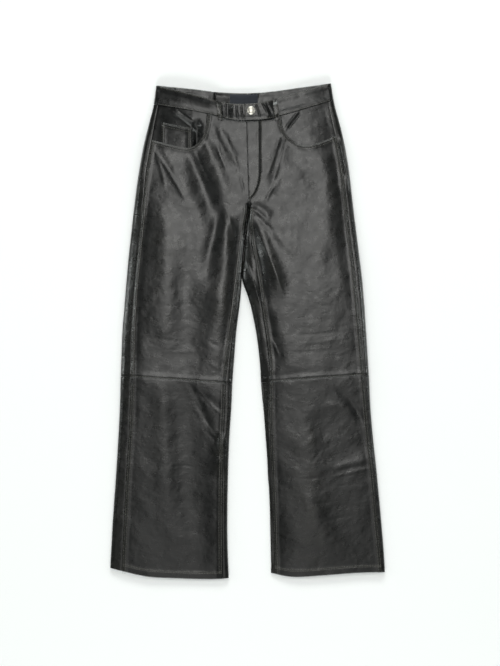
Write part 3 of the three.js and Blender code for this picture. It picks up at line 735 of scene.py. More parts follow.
def shin_surface(leg, x, y):
    """Height of a shin front's outer face: the front's own, with the doubled hem and its stitching."""
    hem = y - read(leg.hem, "y", x)
    rim = 1 - np.sqrt(1 - (1 - np.clip(hem / EDGE.radius, 0, 1)) ** 2)
    doubled = smooth((HEM_TURN + HEM_PLY.fade - hem) / HEM_PLY.fade)
    height = front_surface(leg, x, y) + HEM_PLY.rise * doubled - EDGE.roll * rim
    for row in HEM_ROWS:
        height = height - GROOVE.depth * np.exp(-(((hem - row) / GROOVE.width) ** 2))
    return height


def shin_grid(leg):
    """Columns are shares of the way between the seams, and rows run from the knee seam to the hem."""
    share = steps(SHIN.width, SHIN.columns)[None]
    low, high = leg.hem["y"].mean(), leg.knee["y"].mean()
    top = read(leg.knee, "y", front_x(leg, high, share)) - GAP / 2
    foot = read(leg.hem, "y", front_x(leg, low, share))
    y = lerp(top, foot, steps(SHIN.length, SHIN.rows)[:, None])
    return front_x(leg, y, share), y


for leg in (RIGHT, LEFT):
    x, y = shin_grid(leg)
    z = shin_surface(leg, x, y)
    name = f"shin_front_{leg.name}"
    SHEETS[name] = cloth(name, np.stack([x, y, z], -1), LEATHER, leg.sign, rub_of(leg, x, y), LINED)
    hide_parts(f"front_lower_{leg.name}")


# Backs: a thigh and a shin panel for each leg. Each lies flat underneath, turns round the side edge up
# to the outseam and round the inner edge up to the inseam. At the fork they sink to the centre back.
FORK_RISE = 20.0  # height above the crotch over which the inner turn sinks
BACK_BAND_WIDTH = 37.0
BACK_WAIST_Y = 482.0
BACK = SimpleNamespace(thigh=560, thigh_rows=190, shin=415, shin_rows=150)


def rolled(leg, y, edge, inward, seam, share, climb):
    """Round the side of the cloth: from a place on top that lies "seam" in from the edge, straight to
    the start of the turn, then a quarter ellipse down to the edge and another to the underside. Gives
    x, z and how far the cloth has turned under."""
    half = read(LOFT, "edge", y) / 2
    straight = np.where(climb >= 1, np.maximum(0, seam - TURN_RADIUS), 0)
    full = np.arccos(1 - np.clip(seam / TURN_RADIUS, 0, 1))
    reach = lerp(-np.pi / 2, full, climb)
    gone = share * (straight + TURN_RADIUS * (reach + np.pi / 2))
    angle = np.clip(reach - np.maximum(0, gone - straight) / TURN_RADIUS, -np.pi / 2, np.pi / 2)
    inset = np.where(gone < straight, seam - gone, TURN_RADIUS * (1 - np.cos(angle)))
    x = edge + inward * inset
    over = top_height(leg, x, y)
    z = np.where(angle > 0, over, half * (1 + np.sin(angle)))
    return x, z, np.maximum(0, -angle)


def back_section(leg, y, part, share):
    """A back panel's section at height y. Part 0 is its outer turn, 1 its flat underside and 2 its
    inner turn, and share runs along each."""
    outer, inner = read(leg.plan, "outer", y), inner_edge(leg, y)
    out_seam = np.abs(outer - read(leg.plan, "outseam", y)) - GAP / 2
    in_seam = np.abs(inner - read(leg.plan, "inseam", y)) - GAP / 2
    climb = 1 - np.clip((y - CROTCH_Y) / FORK_RISE, 0, 1)
    x0, z0, turned0 = rolled(leg, y, outer, -leg.sign, out_seam, share, np.ones_like(y))
    x2, z2, turned2 = rolled(leg, y, inner, leg.sign, in_seam, 1 - share, climb)
    x2 = np.where(climb > 0, x2, inner + leg.sign * TURN_RADIUS * (1 - share))
    z2 = np.where(climb > 0, z2, 0)
    x1 = lerp(outer - leg.sign * TURN_RADIUS, inner + leg.sign * TURN_RADIUS, share)
    x = np.choose(part, [x0, x1, x2])
    z = np.choose(part, [z0, np.zeros_like(x1), z2])
    return x, z, np.choose(part, [turned0, np.full_like(x1, np.pi / 2), turned2])


# The columns of a section: how many each part has, and how much closer together they are at the seams.
TURN_COLUMNS = 30
UNDER_COLUMNS = 26
SEAM_BIAS = 1.25
PART = np.repeat([0, 1, 2], [TURN_COLUMNS, UNDER_COLUMNS, TURN_COLUMNS])
SHARE = np.concatenate([
    np.linspace(0, 1, TURN_COLUMNS + 1)[:-1] ** SEAM_BIAS,
    np.linspace(0, 1, UNDER_COLUMNS + 1)[:-1],
    1 - np.linspace(1, 0, TURN_COLUMNS) ** SEAM_BIAS,
])

# Creases of the underside, with the pitch and seed of each layer of hills, the dip of the seam edges
# under the fronts, and the wear along the turned sides, round an angle in radians.
UNDER_CREASE = SimpleNamespace(height=0.7, pitch=38, seed=31, slant=0.4, stretch=0.5, long_pitch=80,
                               long_seed=37)
SEAM_DIP = SimpleNamespace(depth=0.5, reach=1.6, fork_fade=6.0)
SIDE_RUB = SimpleNamespace(most=0.5, angle=0.4, spread=0.5, pitch=15, seed=41)


def back_seam(x):
    """y of the waist seam across the back."""
    return read(BACK_TOP, "y", x) - BACK_BAND_WIDTH


def back_piece(name, leg, top, foot, down, hemmed):
    """A back panel between its top and foot lines, which give y at each column. The underside has
    shallow creases that rise off the surface, and the seam edges dip under the fronts' turned edges."""
    y = lerp(top, foot, down[:, None])
    part, share = np.broadcast_to(PART, y.shape), np.broadcast_to(SHARE, y.shape)
    x, z, turned = back_section(leg, y, part, share)
    under = smooth(turned / (np.pi / 2) * 2 - 1)
    slanted = y * UNDER_CREASE.stretch + x * UNDER_CREASE.slant
    crease = np.maximum(0, hills(x, slanted, UNDER_CREASE.pitch, UNDER_CREASE.seed))
    crease = crease + np.maximum(0, hills(x, y, UNDER_CREASE.long_pitch, UNDER_CREASE.long_seed))
    z = z + UNDER_CREASE.height * under * crease
    seams = [np.abs(x - read(leg.plan, seam, y)) for seam in ("outseam", "inseam")]
    on_top = smooth(1 - turned * 2)
    above_fork = smooth((y - CROTCH_Y) / SEAM_DIP.fork_fade) * (part == 2)
    dip = SEAM_DIP.depth * np.exp(-np.minimum(*seams) / SEAM_DIP.reach)
    z = z - on_top * (1 - above_fork) * dip
    thickness = np.full(y.shape, LEATHER)
    if hemmed:
        thickness = LEATHER * (1 + smooth(HEM_TURN - (y - foot)))
    rub = SIDE_RUB.most * np.exp(-((turned - SIDE_RUB.angle) / SIDE_RUB.spread) ** 2)
    rub = rub * (0.5 + 0.5 * hills(x, y, SIDE_RUB.pitch, SIDE_RUB.seed))
    SHEETS[name] = cloth(name, np.stack([x, y, z], -1), thickness, -leg.sign, rub, LINED)
    return SHEETS[name]


def column_x(leg, y):
    """x of each column of a back section at one height."""
    return back_section(leg, np.full(PART.shape, y), PART, SHARE)[0]


for leg in (RIGHT, LEFT):
    waist_x, _, waist_turned = back_section(leg, np.full(PART.shape, BACK_WAIST_Y), PART, SHARE)
    share_turned = np.clip(2 * waist_turned / np.pi, 0, 1)
    waist_y = lerp(read(WAIST_SEAM, "y", waist_x), back_seam(waist_x), share_turned) - GAP
    knee_y = read(leg.knee, "y", column_x(leg, leg.knee["y"].mean()))
    hem_y = read(leg.hem, "y", column_x(leg, leg.hem["y"].mean()))
    thigh = back_piece(f"thigh_back_{leg.name}", leg, waist_y, knee_y + GAP / 2,
                       steps(BACK.thigh, BACK.thigh_rows), hemmed=False)
    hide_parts(f"back_upper_{leg.name}")
    shin = back_piece(f"shin_back_{leg.name}", leg, knee_y - GAP / 2, hem_y,
                      steps(BACK.shin, BACK.shin_rows), hemmed=True)
    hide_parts(f"back_lower_{leg.name}")


# Pocket facings: the hip-side leather inside each scooped mouth, sewn to the outseam and waist seam.
# The right one carries the coin pocket, and gapes where a hand goes in: it leans away from the front
# and sinks into a trough beside the coin pocket.
REST = 0.3  # between a piece and what it lies on
POCKET_DEPTH = SimpleNamespace(seam=2.7, inside=3.2, fade=12.0)
GAPE = SimpleNamespace(start=-115.0, middle=-106.0, width=7.0, top=450.0, fade=30.0, depth=7.0,
                       lean=0.06)
FACINGS = {"right": SimpleNamespace(inner=-72.0, bottom=368.0),
           "left": SimpleNamespace(inner=60.0, bottom=376.0)}
FACING_TOP_Y = 470.0


def pocket_depth(leg, x, y):
    """How far a facing lies under the cloth's top: least at its two seams, and on the right side
    deeper by a bell-shaped trough and a straight lean."""
    from_outseam = leg.sign * (read(leg.plan, "outseam", y) - x)
    from_waist = read(WAIST_SEAM, "y", x) - y
    inside = smooth(from_outseam / POCKET_DEPTH.fade) * smooth(from_waist / POCKET_DEPTH.fade)
    depth = lerp(POCKET_DEPTH.seam, POCKET_DEPTH.inside, inside)
    if leg is RIGHT:
        gape = np.exp(-(((x - GAPE.middle) / GAPE.width) ** 2)) * smooth((GAPE.top - y) / GAPE.fade)
        depth = depth + GAPE.depth * gape + GAPE.lean * np.maximum(0, GAPE.start - x)
    return depth


def facing_grid(leg, columns=70, rows=56):
    """Columns run down from the waist seam, and rows from the outseam to the facing's inner edge."""
    facing = FACINGS[leg.name]
    share = np.linspace(0, 1, columns)[None]
    seam = read(leg.plan, "outseam", FACING_TOP_Y) - leg.sign * GAP
    top = read(WAIST_SEAM, "y", lerp(seam, facing.inner, share)) - GAP
    y = lerp(top, facing.bottom, np.linspace(0, 1, rows)[:, None])
    x = lerp(read(leg.plan, "outseam", y) - leg.sign * GAP, facing.inner, share)
    return x, y


for leg in (RIGHT, LEFT):
    x, y = facing_grid(leg)
    z = top_height(leg, x, y) - pocket_depth(leg, x, y)
    name = f"facing_{leg.name}"
    SHEETS[name] = cloth(name, np.stack([x, y, z], -1), LEATHER, leg.sign)
    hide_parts(f"pocket_facing_{leg.name}")


# Coin pocket: a patch of the same nappa, laid on the right facing. Its sides and foot are turned under
# and sewn down in two rows, and its slanted top hem is left open, for a coin or a watch.
COIN = SimpleNamespace(start=-181.0, end=-117.0, top=(439.0, 424.0), foot=(383.0, 377.0), relief=0.8,
                       width=64, columns=46, length=56, rows=44)
COIN_SIDE_ROWS = (2.0, 6.0)
COIN_HEM_ROWS = (2.0, 8.0)


def coin_surface(x, y, from_edge, from_top):
    """Height of the patch: one ply above the facing, plus the relief of its side and top edges."""
    base = top_height(RIGHT, x, y) - pocket_depth(RIGHT, x, y) + LEATHER + REST
    edges = turned_edge(from_edge, COIN_SIDE_ROWS) + turned_edge(from_top, COIN_HEM_ROWS)
    return base + COIN.relief * edges


across = steps(COIN.width, COIN.columns)[None]
coin_top, coin_foot = lerp(*COIN.top, across), lerp(*COIN.foot, across)
down = steps(COIN.length, COIN.rows)[:, None]
y = lerp(coin_top, coin_foot, down)
x = np.broadcast_to(lerp(COIN.start, COIN.end, across), y.shape)
from_edge = np.minimum(x - COIN.start, COIN.end - x)
z = coin_surface(x, y, from_edge, coin_top - y)
SHEETS["coin_pocket_patch"] = cloth("coin_pocket_patch", np.stack([x, y, z], -1), LEATHER, -1)
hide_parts("coin_pocket")


# Fly shield: a strip of nappa behind the fly's opening, sewn to the right front's edge. It keeps the
# zip off the skin, and only its face shows, in the gap of the closed fly.
SHIELD_OVERLAP = 10.0  # how far it goes under the right front, and how far over the fly's foot it ends
across = np.linspace(0, 1, 14)[None]
edge = read(RIGHT.plan, "inseam", CROTCH_Y)
x = lerp(edge - SHIELD_OVERLAP, FLY.width - GAP, across)
y = lerp(read(WAIST_SEAM, "y", x) - GAP, FLY.foot + SHIELD_OVERLAP, np.linspace(0, 1, 50)[:, None])
x = np.broadcast_to(x, y.shape)
z = top_height(LEFT, x, y) - LEATHER - REST
SHEETS["fly_shield_strip"] = cloth("fly_shield_strip", np.stack([x, y, z], -1), LEATHER, -1)
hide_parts("fly_shield")


# Waistband: two halves of doubled leather that meet at the centre back. Each goes round the side edge.
# The left end laps over the right one, and both edges are topstitched.
BAND = 2.4
BAND_WIDTH = 36.0
BAND_ROW = 2.2  # from each edge to its row of stitching
BAND_PROUD = 0.7  # how far the band stands above the fronts
BAND_SIDE_Y = 475.5  # where the waist seam meets the side edge
BAND_GRID = SimpleNamespace(front=190, turn=26, back=90, rows=40)
BAND_END_STEPS = np.array([0, 0.5, 1, 1.6, 2.4]) / 180  # columns at its end, over a front of 180 mm
LAP = SimpleNamespace(start=-6.0, under=26.0, level=38.0, fade=22.0, rise=BAND + GAP)
BAND_ENDS = ((RIGHT, LAP.under), (LEFT, LAP.start))

# The front of the right half curls up toward its top edge, most of all beside the belt loop.
CURL_BEND = 1.6
BAND_CURL = table("x rise", [-196, 2], [-160, 5], [-105, 7.5], [-80, 8], [-68, 6], [-55, 2],
                  [-42, 0])

# The back shows its inside: crumpled, joined in two places, and leaning out toward its top edge where
# the label is sewn. Swells are rows of height, pitch and seed of random hills. Its wall is a little
# thinner than two plies, and the front's is thinner still, where it is pressed.
BACK_SWELLS = ((0.35, 12, 51), (0.25, 30, 53))
BAND_JOINS = (-154.2, -71.3)
JOIN = SimpleNamespace(depth=0.9, width=1.3)
BACK_LEAN = SimpleNamespace(start=-72.0, start_fade=6.0, end=26.0, end_fade=20.0, rise=4.5, reach=14.0)
BACK_THINNER = 0.1
FRONT_THINNER = 0.3
BAND_RUB = SimpleNamespace(most=0.4, falls=18)  # wear along the top edge, and how fast it falls off


def band_curl(x, share):
    """How far the band curls up: the table's rise times a power of the share toward the top edge."""
    return read(BAND_CURL, "rise", x) * share**CURL_BEND


def band_lap(leg, x):
    """How far the left end rises to pass over the right one."""
    return LAP.rise * smooth((LAP.level + LAP.fade - x) / LAP.fade) if leg is LEFT else 0 * x


def band_front_y(x, share):
    """y in the band's front, a share of the way from the waist seam to the top edge."""
    return lerp(read(WAIST_SEAM, "y", x) + GAP / 2, read(FRONT_TOP, "y", x), share)


def band_edges(share):
    """Height that the band's two stitched edges add, share running from the seam to the top edge."""
    return turned_edge(np.minimum(share, 1 - share) * BAND_WIDTH, (BAND_ROW,)) - EDGE.ply


def band_surface(leg, x, y, share):
    """Height of the front of the band: the cloth's top, the lap, the stitched edges and the curl."""
    return top_height(leg, x, y) + band_lap(leg, x) + band_edges(share) + BAND_PROUD + band_curl(x, share)


def band_half(leg, front_end):
    """Half of the band as a grid: along the front, round the side edge on a half ellipse, and along
    the back to its middle."""
    share = steps(BAND_WIDTH, BAND_GRID.rows)[:, None]
    seam_edge = read(leg.plan, "outer", BAND_SIDE_Y)
    side = read(leg.plan, "outer", band_front_y(seam_edge, share))
    turn_start = side - leg.sign * TURN_RADIUS
    even = np.linspace(BAND_END_STEPS[-1], 1, BAND_GRID.front - len(BAND_END_STEPS) + 1)
    fx = lerp(front_end, turn_start, np.concatenate([BAND_END_STEPS, even[1:]])[None])
    fy = band_front_y(fx, share)
    from_end = np.abs(fx - front_end)
    rim = 1 - np.sqrt(1 - (1 - np.clip(from_end / EDGE.radius, 0, 1)) ** 2)
    fz = band_surface(leg, fx, fy, share) - EDGE.roll * rim
    angle = np.linspace(np.pi / 2, -np.pi / 2, BAND_GRID.turn + 2)[None, 1:-1]
    tx = side - leg.sign * TURN_RADIUS * (1 - np.cos(angle))
    back_y = lerp(back_seam(tx) + GAP / 2, read(BACK_TOP, "y", tx), share)
    ty = lerp(back_y, band_front_y(tx, share), (1 + np.sin(angle)) / 2)
    over = top_height(leg, tx, ty) + (band_edges(share) + BAND_PROUD) * np.sin(angle)
    tz = np.where(angle > 0, over, read(LOFT, "edge", ty) / 2 * (1 + np.sin(angle)))
    bx = lerp(turn_start, leg.sign * GAP / 2, np.linspace(0, 1, BAND_GRID.back)[None])
    by = lerp(back_seam(bx) + GAP / 2, read(BACK_TOP, "y", bx), share)
    bz = -np.minimum(band_edges(share), 0) + 0 * bx
    grid = np.concatenate([np.stack(part, -1) for part in ((fx, fy, fz), (tx, ty, tz), (bx, by, bz))], 1)
    on_back = np.concatenate([np.zeros(fx.shape), np.zeros(tx.shape), np.ones(bx.shape)], 1)
    return grid, on_back


def back_lean(x, y):
    """How far the back of the band leans out: a bell that falls away from its top edge."""
    return BACK_LEAN.rise * np.exp(-(((read(BACK_TOP, "y", x) - y) / BACK_LEAN.reach) ** 2))


def band_thickness(grid, on_back):
    """The doubled band, with the crumpled facing that shows inside the back half: random swells, a
    bell-shaped groove at each of its joins, and the lean beside the label."""
    x, y = grid[..., 0], grid[..., 1]
    swell = sum(height * hills(x, y, pitch, seed) for height, pitch, seed in BACK_SWELLS)
    for join in BAND_JOINS:
        swell = swell - JOIN.depth * np.exp(-(((x - join) / JOIN.width) ** 2))
    leaning = smooth((x - BACK_LEAN.start) / BACK_LEAN.start_fade)
    leaning = leaning * smooth((BACK_LEAN.end - x) / BACK_LEAN.end_fade)
    swell = swell + leaning * back_lean(x, y)
    return BAND + on_back * (swell - BACK_THINNER) - FRONT_THINNER * (1 - on_back)


for leg, end in BAND_ENDS:
    grid, on_back = band_half(leg, end)
    name = f"band_{leg.name}"
    from_top = 1 - steps(BAND_WIDTH, BAND_GRID.rows)[:, None]
    rub = np.broadcast_to(BAND_RUB.most * np.exp(-BAND_RUB.falls * from_top), grid.shape[:2])
    SHEETS[name] = cloth(name, grid, band_thickness(grid, on_back), leg.sign, rub)
    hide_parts(f"waistband_{leg.name}")


# Belt loops: strips of nappa, folded and topstitched along both edges, and sewn down at the band's top
# edge and below the waist seam. Between these seats a loop stands off the band, to let a belt through.
# A loop rises over the share `seat` of its length, flat for seat_flat of that. Sink and below are how
# far its ends lie under the band's two edges, and curl_end is how fast the band's curl dies out.
LOOP = SimpleNamespace(width=10.0, ply=2.2, lift=3.0, seat=0.22, seat_flat=0.4, below=7.0, sink=1.0,
                       row=1.9, rows=60, curl_end=1.2)
LOOP_STEPS = np.array([0, 0.35, 0.8, 1.3, 1.9, 2.5, 3.3, 4.2, 5.0])
LOOP_RUB = SimpleNamespace(most=0.6, spread=0.35)
LOOPS = {"right": SimpleNamespace(top=-61.0, foot=-57.0), "left": SimpleNamespace(top=57.0, foot=63.0)}


def loop_grid(leg, across, share):
    """A strip from the band's top edge to below the waist seam, its edges rolled and its two rows of
    stitching sunk, lifted off the band between its seats."""
    place = LOOPS[leg.name]
    x = lerp(place.top, place.foot, share) + across
    y = lerp(read(FRONT_TOP, "y", x) - LOOP.sink, read(WAIST_SEAM, "y", x) - LOOP.below, share)
    raised = smooth(share / LOOP.seat - LOOP.seat_flat)
    raised = raised * smooth((1 - share) / LOOP.seat - LOOP.seat_flat)
    band = band_lap(leg, x) + band_curl(x, np.clip(1 - share * LOOP.curl_end, 0, 1)) + BAND_PROUD
    to_edge = LOOP.width / 2 - np.abs(across)
    edges = turned_edge(to_edge, (LOOP.row,)) - EDGE.ply
    return x, y, top_height(leg, x, y) + band + REST + LOOP.ply + LOOP.lift * raised + edges


for leg in (RIGHT, LEFT):
    across = np.concatenate([LOOP_STEPS, (LOOP.width - LOOP_STEPS[:-1])[::-1]])[None] - LOOP.width / 2
    down = np.linspace(0, 1, LOOP.rows)[:, None]
    x, y, z = loop_grid(leg, across, down)
    name = f"loop_{leg.name}"
    rub = LOOP_RUB.most * np.exp(-((down - 0.5) / LOOP_RUB.spread) ** 2) + 0 * x
    SHEETS[name] = cloth(name, np.stack([x, y, z], -1), LOOP.ply, -1, rub)
    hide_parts(f"belt_loop_{leg.name}")


# Button: a tack button of plated brass, pressed from sheet: a domed cap, rolled over its rim, on a
# shank that is riveted through the right end of the band and passes the left one's buttonhole.
# The rim's points and the dome's start are inset from the cap's radius and raised from the shank's top.
BUTTON = SimpleNamespace(x=7.5, y=462.0, radius=8.7, dome=3.0, shank=2.8)
CAP_RIM = ((1.0, 0.0), (0.3, 0.3), (0.0, 0.9), (0.15, 1.5), (0.7, 1.95), (1.3, 2.0), (1.7, 1.75),
           (2.1, 1.7))
DOME_START = (2.4, 1.75)


def plated_brass():
    """Nickel-plated brass, tumbled and worn: a satin metal whose tone, gloss and low relief vary in
    clouds of 3 mm."""
    m = blank("plated_brass_satin")
    place = node(m, "ShaderNodeTexCoord").outputs["Object"]
    cloud = node(m, "ShaderNodeTexNoise", {"Vector": place, "Scale": 1 / 0.003, "Detail": 5.0})
    tone = node(m, "ShaderNodeMixRGB", {"Fac": cloud.outputs["Fac"], "Color1": srgb("#a5a29a"),
                                        "Color2": srgb("#d2cfc6")})
    rough = node(m, "ShaderNodeMapRange", {"Value": cloud.outputs["Fac"], "To Min": 0.22,
                                           "To Max": 0.42})
    bump = node(m, "ShaderNodeBump", {"Height": cloud.outputs["Fac"], "Strength": 0.25,
                                      "Distance": 0.0001})
    metal = node(m, "ShaderNodeBsdfPrincipled", {
        "Base Color": tone.outputs["Color"], "Metallic": 1.0, "Roughness": rough.outputs["Result"],
        "Normal": bump.outputs["Normal"]})
    node(m, "ShaderNodeOutputMaterial", {"Surface": metal.outputs["BSDF"]})
    return m


def turned_round(profile, centre, count=64):
    """A closed solid of revolution: a profile of radius and height, from the axis to the axis, carried
    round a vertical axis. Its two poles are single points."""
    angle = np.linspace(0, 2 * np.pi, count, endpoint=False)
    radius, height = profile[1:-1].T
    ring = np.stack([radius[:, None] * np.cos(angle), radius[:, None] * np.sin(angle),
                     height[:, None] + 0 * angle], -1).reshape(-1, 3)
    points = np.concatenate([ring, [[0, 0, profile[0, 1]]], [[0, 0, profile[-1, 1]]]]) + centre
    index = np.arange(len(ring)).reshape(-1, count)
    after = np.roll(index, -1, axis=1)
    quads = np.stack([index[:-1], after[:-1], after[1:], index[1:]], -1).reshape(-1, 4).tolist()
    foot, tip = len(ring), len(ring) + 1
    fans = [[foot, b, a] for a, b in zip(index[0].tolist(), after[0].tolist())]
    fans += [[tip, a, b] for a, b in zip(index[-1].tolist(), after[-1].tolist())]
    return points, quads + fans


# The button's profile from the axis: up the shank, round the rim, and a quarter ellipse up to the axis.
shank_top = LAP.rise + REST + BAND_PROUD
profile = [(0.0, 0.0), (BUTTON.shank, 0.0), (BUTTON.shank, shank_top)]
profile += [(BUTTON.radius - inset, shank_top + raised) for inset, raised in CAP_RIM]
quarter = np.linspace(0, np.pi / 2, 12)[:-1]
inset, raised = DOME_START
dome_radius = (BUTTON.radius - inset) * np.cos(quarter)
dome_height = shank_top + raised + (BUTTON.dome - raised) * np.sin(quarter)
profile += [*zip(dome_radius, dome_height), (0.0, shank_top + BUTTON.dome)]
seat = float(top_height(RIGHT, np.array(BUTTON.x), np.array(BUTTON.y)))
points, faces = turned_round(np.array(profile), np.array([BUTTON.x, BUTTON.y, seat + REST]))
button_piece = build("tack_button", points, faces, (plated_brass(),), crease_angle=35)
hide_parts("button")


# Label: a woven tab of dark navy polyester, sewn inside the back of the band, just below its top edge.
# It is left plain.
LABEL = SimpleNamespace(start=-37.0, end=22.0, below=3.5, height=20.0, thickness=1.0, ply=0.7,
                        swell=0.25, pitch=14, seed=61)
WAVE_PERIOD = np.pi / 10  # distance between two bands of a wave texture of scale 1


def woven_tab():
    """Damask-woven polyester, dark navy and nearly matt. Its low ribs run across the tab, 5.65 mm
    apart, many times the real ones, so that they show."""
    m = blank("woven_tab_navy")
    place = node(m, "ShaderNodeTexCoord").outputs["Object"]
    rib = node(m, "ShaderNodeTexWave", {"Vector": place, "Scale": WAVE_PERIOD / 0.00565,
                                        "Distortion": 0.4}, bands_direction="Y")
    cloud = node(m, "ShaderNodeTexNoise", {"Vector": place, "Scale": 1 / 0.006, "Detail": 3.0})
    tone = node(m, "ShaderNodeMixRGB", {"Fac": cloud.outputs["Fac"], "Color1": srgb("#181c25"),
                                        "Color2": srgb("#272c37")})
    bump = node(m, "ShaderNodeBump", {"Height": rib.outputs["Fac"], "Strength": 0.5,
                                      "Distance": 0.0002})
    weave = node(m, "ShaderNodeBsdfPrincipled", {
        "Base Color": tone.outputs["Color"], "Roughness": 0.62, "Normal": bump.outputs["Normal"],
        "Sheen Weight": 0.15, "Sheen Roughness": 0.4})
    node(m, "ShaderNodeOutputMaterial", {"Surface": weave.outputs["BSDF"]})
    return m


across = np.linspace(0, 1, 30)[None]
x = lerp(LABEL.start, LABEL.end, across)
y = read(BACK_TOP, "y", x) - LABEL.below - LABEL.height * np.linspace(0, 1, 14)[:, None]
x = np.broadcast_to(x, y.shape)
z = BAND + REST + LABEL.thickness + back_lean(x, y) + LABEL.swell * hills(x, y, LABEL.pitch, LABEL.seed)
SHEETS["waist_tab"] = cloth("waist_tab", np.stack([x, y, z], -1), LABEL.ply, -1,
                            materials=(woven_tab(),))
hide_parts("waist_label")


# Topstitching: bonded polyester thread, a little heavier than the seam thread. Each stitch is a short
# bead that dives into the leather at both ends, and a row stops short of the seams that it meets.
THREAD = SimpleNamespace(pitch=3.4, length=2.7, radius=0.38, sides=6, proud=0.12, sink=0.608)
# Where rows stop: millimetres short of an edge or seam, and as shares of a row for seam and fly.
STOP = SimpleNamespace(knee=8.0, mouth=2.0, hem=3.0, crotch=6.0, waist=1.0, seam=0.01, fly=0.985)
# A bead's rings: where each lies along the stitch, its share of the thread's radius, and of the sink.
BEAD = SimpleNamespace(place=np.array([-0.5, -0.32, 0.0, 0.32, 0.5]),
                       radius=np.array([0.25, 0.85, 1.0, 0.85, 0.25]),
                       sink=np.array([0.55, 0.1, 0.0, 0.1, 0.55]))


def bonded_thread():
    """Twisted, bonded black thread, drawn grey as a painted highlight for the light it catches, so it is
    lighter than the leather, with a slight gloss along its strands."""
    m = blank("thread_grey_painted_highlight")
    place = node(m, "ShaderNodeTexCoord").outputs["Object"]
    twist = node(m, "ShaderNodeTexNoise", {"Vector": place, "Scale": 1 / 0.0006, "Detail": 2.0})
    # Grey tones are a painted highlight: the black thread drawn lighter for the light that it catches.
    tone = node(m, "ShaderNodeMixRGB", {"Fac": twist.outputs["Fac"], "Color1": srgb("#4a4842"),
                                        "Color2": srgb("#6b695f")})
    thread = node(m, "ShaderNodeBsdfPrincipled", {
        "Base Color": tone.outputs["Color"], "Roughness": 0.35, "Sheen Weight": 0.1})
    node(m, "ShaderNodeOutputMaterial", {"Surface": thread.outputs["BSDF"]})
    return m


BONDED_THREAD = bonded_thread()


def stitches(name, lines):
    """One joined mesh of stitches. Along each line a bead every pitch: rings of 6 points whose radius
    grows from a quarter of the thread's to all of it and back, and whose ends dip into the leather."""
    angle = np.linspace(0, 2 * np.pi, THREAD.sides, endpoint=False)
    centres, runs = [], []
    for line in lines:
        length = np.linalg.norm(np.diff(line, axis=0), axis=1).sum()
        count = max(2, int(length / THREAD.pitch))
        middle = (np.arange(count) + 0.5) / count
        nudge = 0.5 * THREAD.length / length
        centres.append(along(line, middle))
        runs.append(along(line, middle + nudge) - along(line, middle - nudge))
    centre, run = np.concatenate(centres), np.concatenate(runs)
    run /= np.maximum(np.linalg.norm(run, axis=1, keepdims=True), 1e-9)
    aside = np.cross([0.0, 0.0, 1.0], run)
    aside /= np.maximum(np.linalg.norm(aside, axis=1, keepdims=True), 1e-9)
    up = np.cross(run, aside)
    axis = centre[:, None] + run[:, None] * (BEAD.place * THREAD.length)[None, :, None]
    axis = axis + up[:, None] * (THREAD.proud - BEAD.sink * THREAD.sink)[None, :, None]
    ring = aside[:, None, None] * np.cos(angle)[None, None, :, None]
    ring = ring + up[:, None, None] * np.sin(angle)[None, None, :, None]
    points = axis[:, :, None] + ring * (BEAD.radius * THREAD.radius)[None, :, None, None]
    rings, sides = len(BEAD.place), THREAD.sides
    index = np.arange(rings * sides).reshape(rings, sides)
    after = np.roll(index, -1, axis=1)
    tube = np.stack([index[:-1], after[:-1], after[1:], index[1:]], -1).reshape(-1, 4)
    first, last = index[0], index[-1]
    caps = [first[[0, 5, 4, 3]], first[[0, 3, 2, 1]], last[[0, 1, 2, 3]], last[[0, 3, 4, 5]]]
    faces = np.concatenate([tube, np.stack(caps)])
    faces = (faces[None] + (np.arange(len(centre)) * rings * sides)[:, None, None]).reshape(-1, 4)
    piece = build(name, points.reshape(-1, 3), faces.tolist(), (BONDED_THREAD,), crease_angle=80)


def on(surface, leg, xy):
    """A line of plan points raised onto a surface."""
    return np.column_stack([xy, surface(leg, xy[:, 0], xy[:, 1])])


def beside(line, distance):
    """A plan line moved to its left by a distance."""
    run = np.gradient(line, axis=0)
    run /= np.linalg.norm(run, axis=1, keepdims=True)
    return line + distance * np.stack([-run[:, 1], run[:, 0]], -1)


def seam_line(leg, column, low, high, distance):
    """A plan line beside an outseam or inseam, at a distance inside the front panel."""
    y = np.linspace(low, high, 500)
    side = -leg.sign if column == "outseam" else leg.sign
    return np.stack([read(leg.plan, column, y) + side * (GAP / 2 + distance), y], -1)


def across_line(leg, rows, distance):
    """A plan line across a front, at a distance above its knee seam or its hem."""
    ends = [front_x(leg, rows["y"].mean(), share) for share in (STOP.seam, 1 - STOP.seam)]
    x = np.linspace(*ends, 400)
    return np.stack([x, read(rows, "y", x) + distance], -1)


for leg in (RIGHT, LEFT):
    knee, hem = leg.knee["y"].mean(), leg.hem["y"].mean()
    mouth = MOUTHS[leg.name]
    lines = []
    for row in STITCH_ROWS:
        for seam, top in (("outseam", mouth[0, 1] - STOP.mouth), ("inseam", CROTCH_Y - STOP.crotch)):
            lines.append(on(front_surface, leg, seam_line(leg, seam, knee + STOP.knee, top, row)))
            lines.append(on(shin_surface, leg, seam_line(leg, seam, hem + STOP.hem, knee - STOP.knee, row)))
    for row in STITCH_ROWS:
        inside = beside(mouth, leg.sign * row)
        shows = inside[:, 1] < read(WAIST_SEAM, "y", inside[:, 0]) - STOP.waist
        lines.append(on(front_surface, leg, inside[shows]))
    for row in KNEE_ROWS:
        lines.append(on(front_surface, leg, across_line(leg, leg.knee, GAP / 2 + row)))
    for row in HEM_ROWS:
        lines.append(on(shin_surface, leg, across_line(leg, leg.hem, row)))
    if leg is LEFT:
        for width, foot in FLY_ROWS:
            curve = along(fly_line(width, foot), np.linspace(0, STOP.fly, 400))
            lines.append(on(front_surface, leg, curve))
    stitches(f"topstitching_{leg.name}", lines)

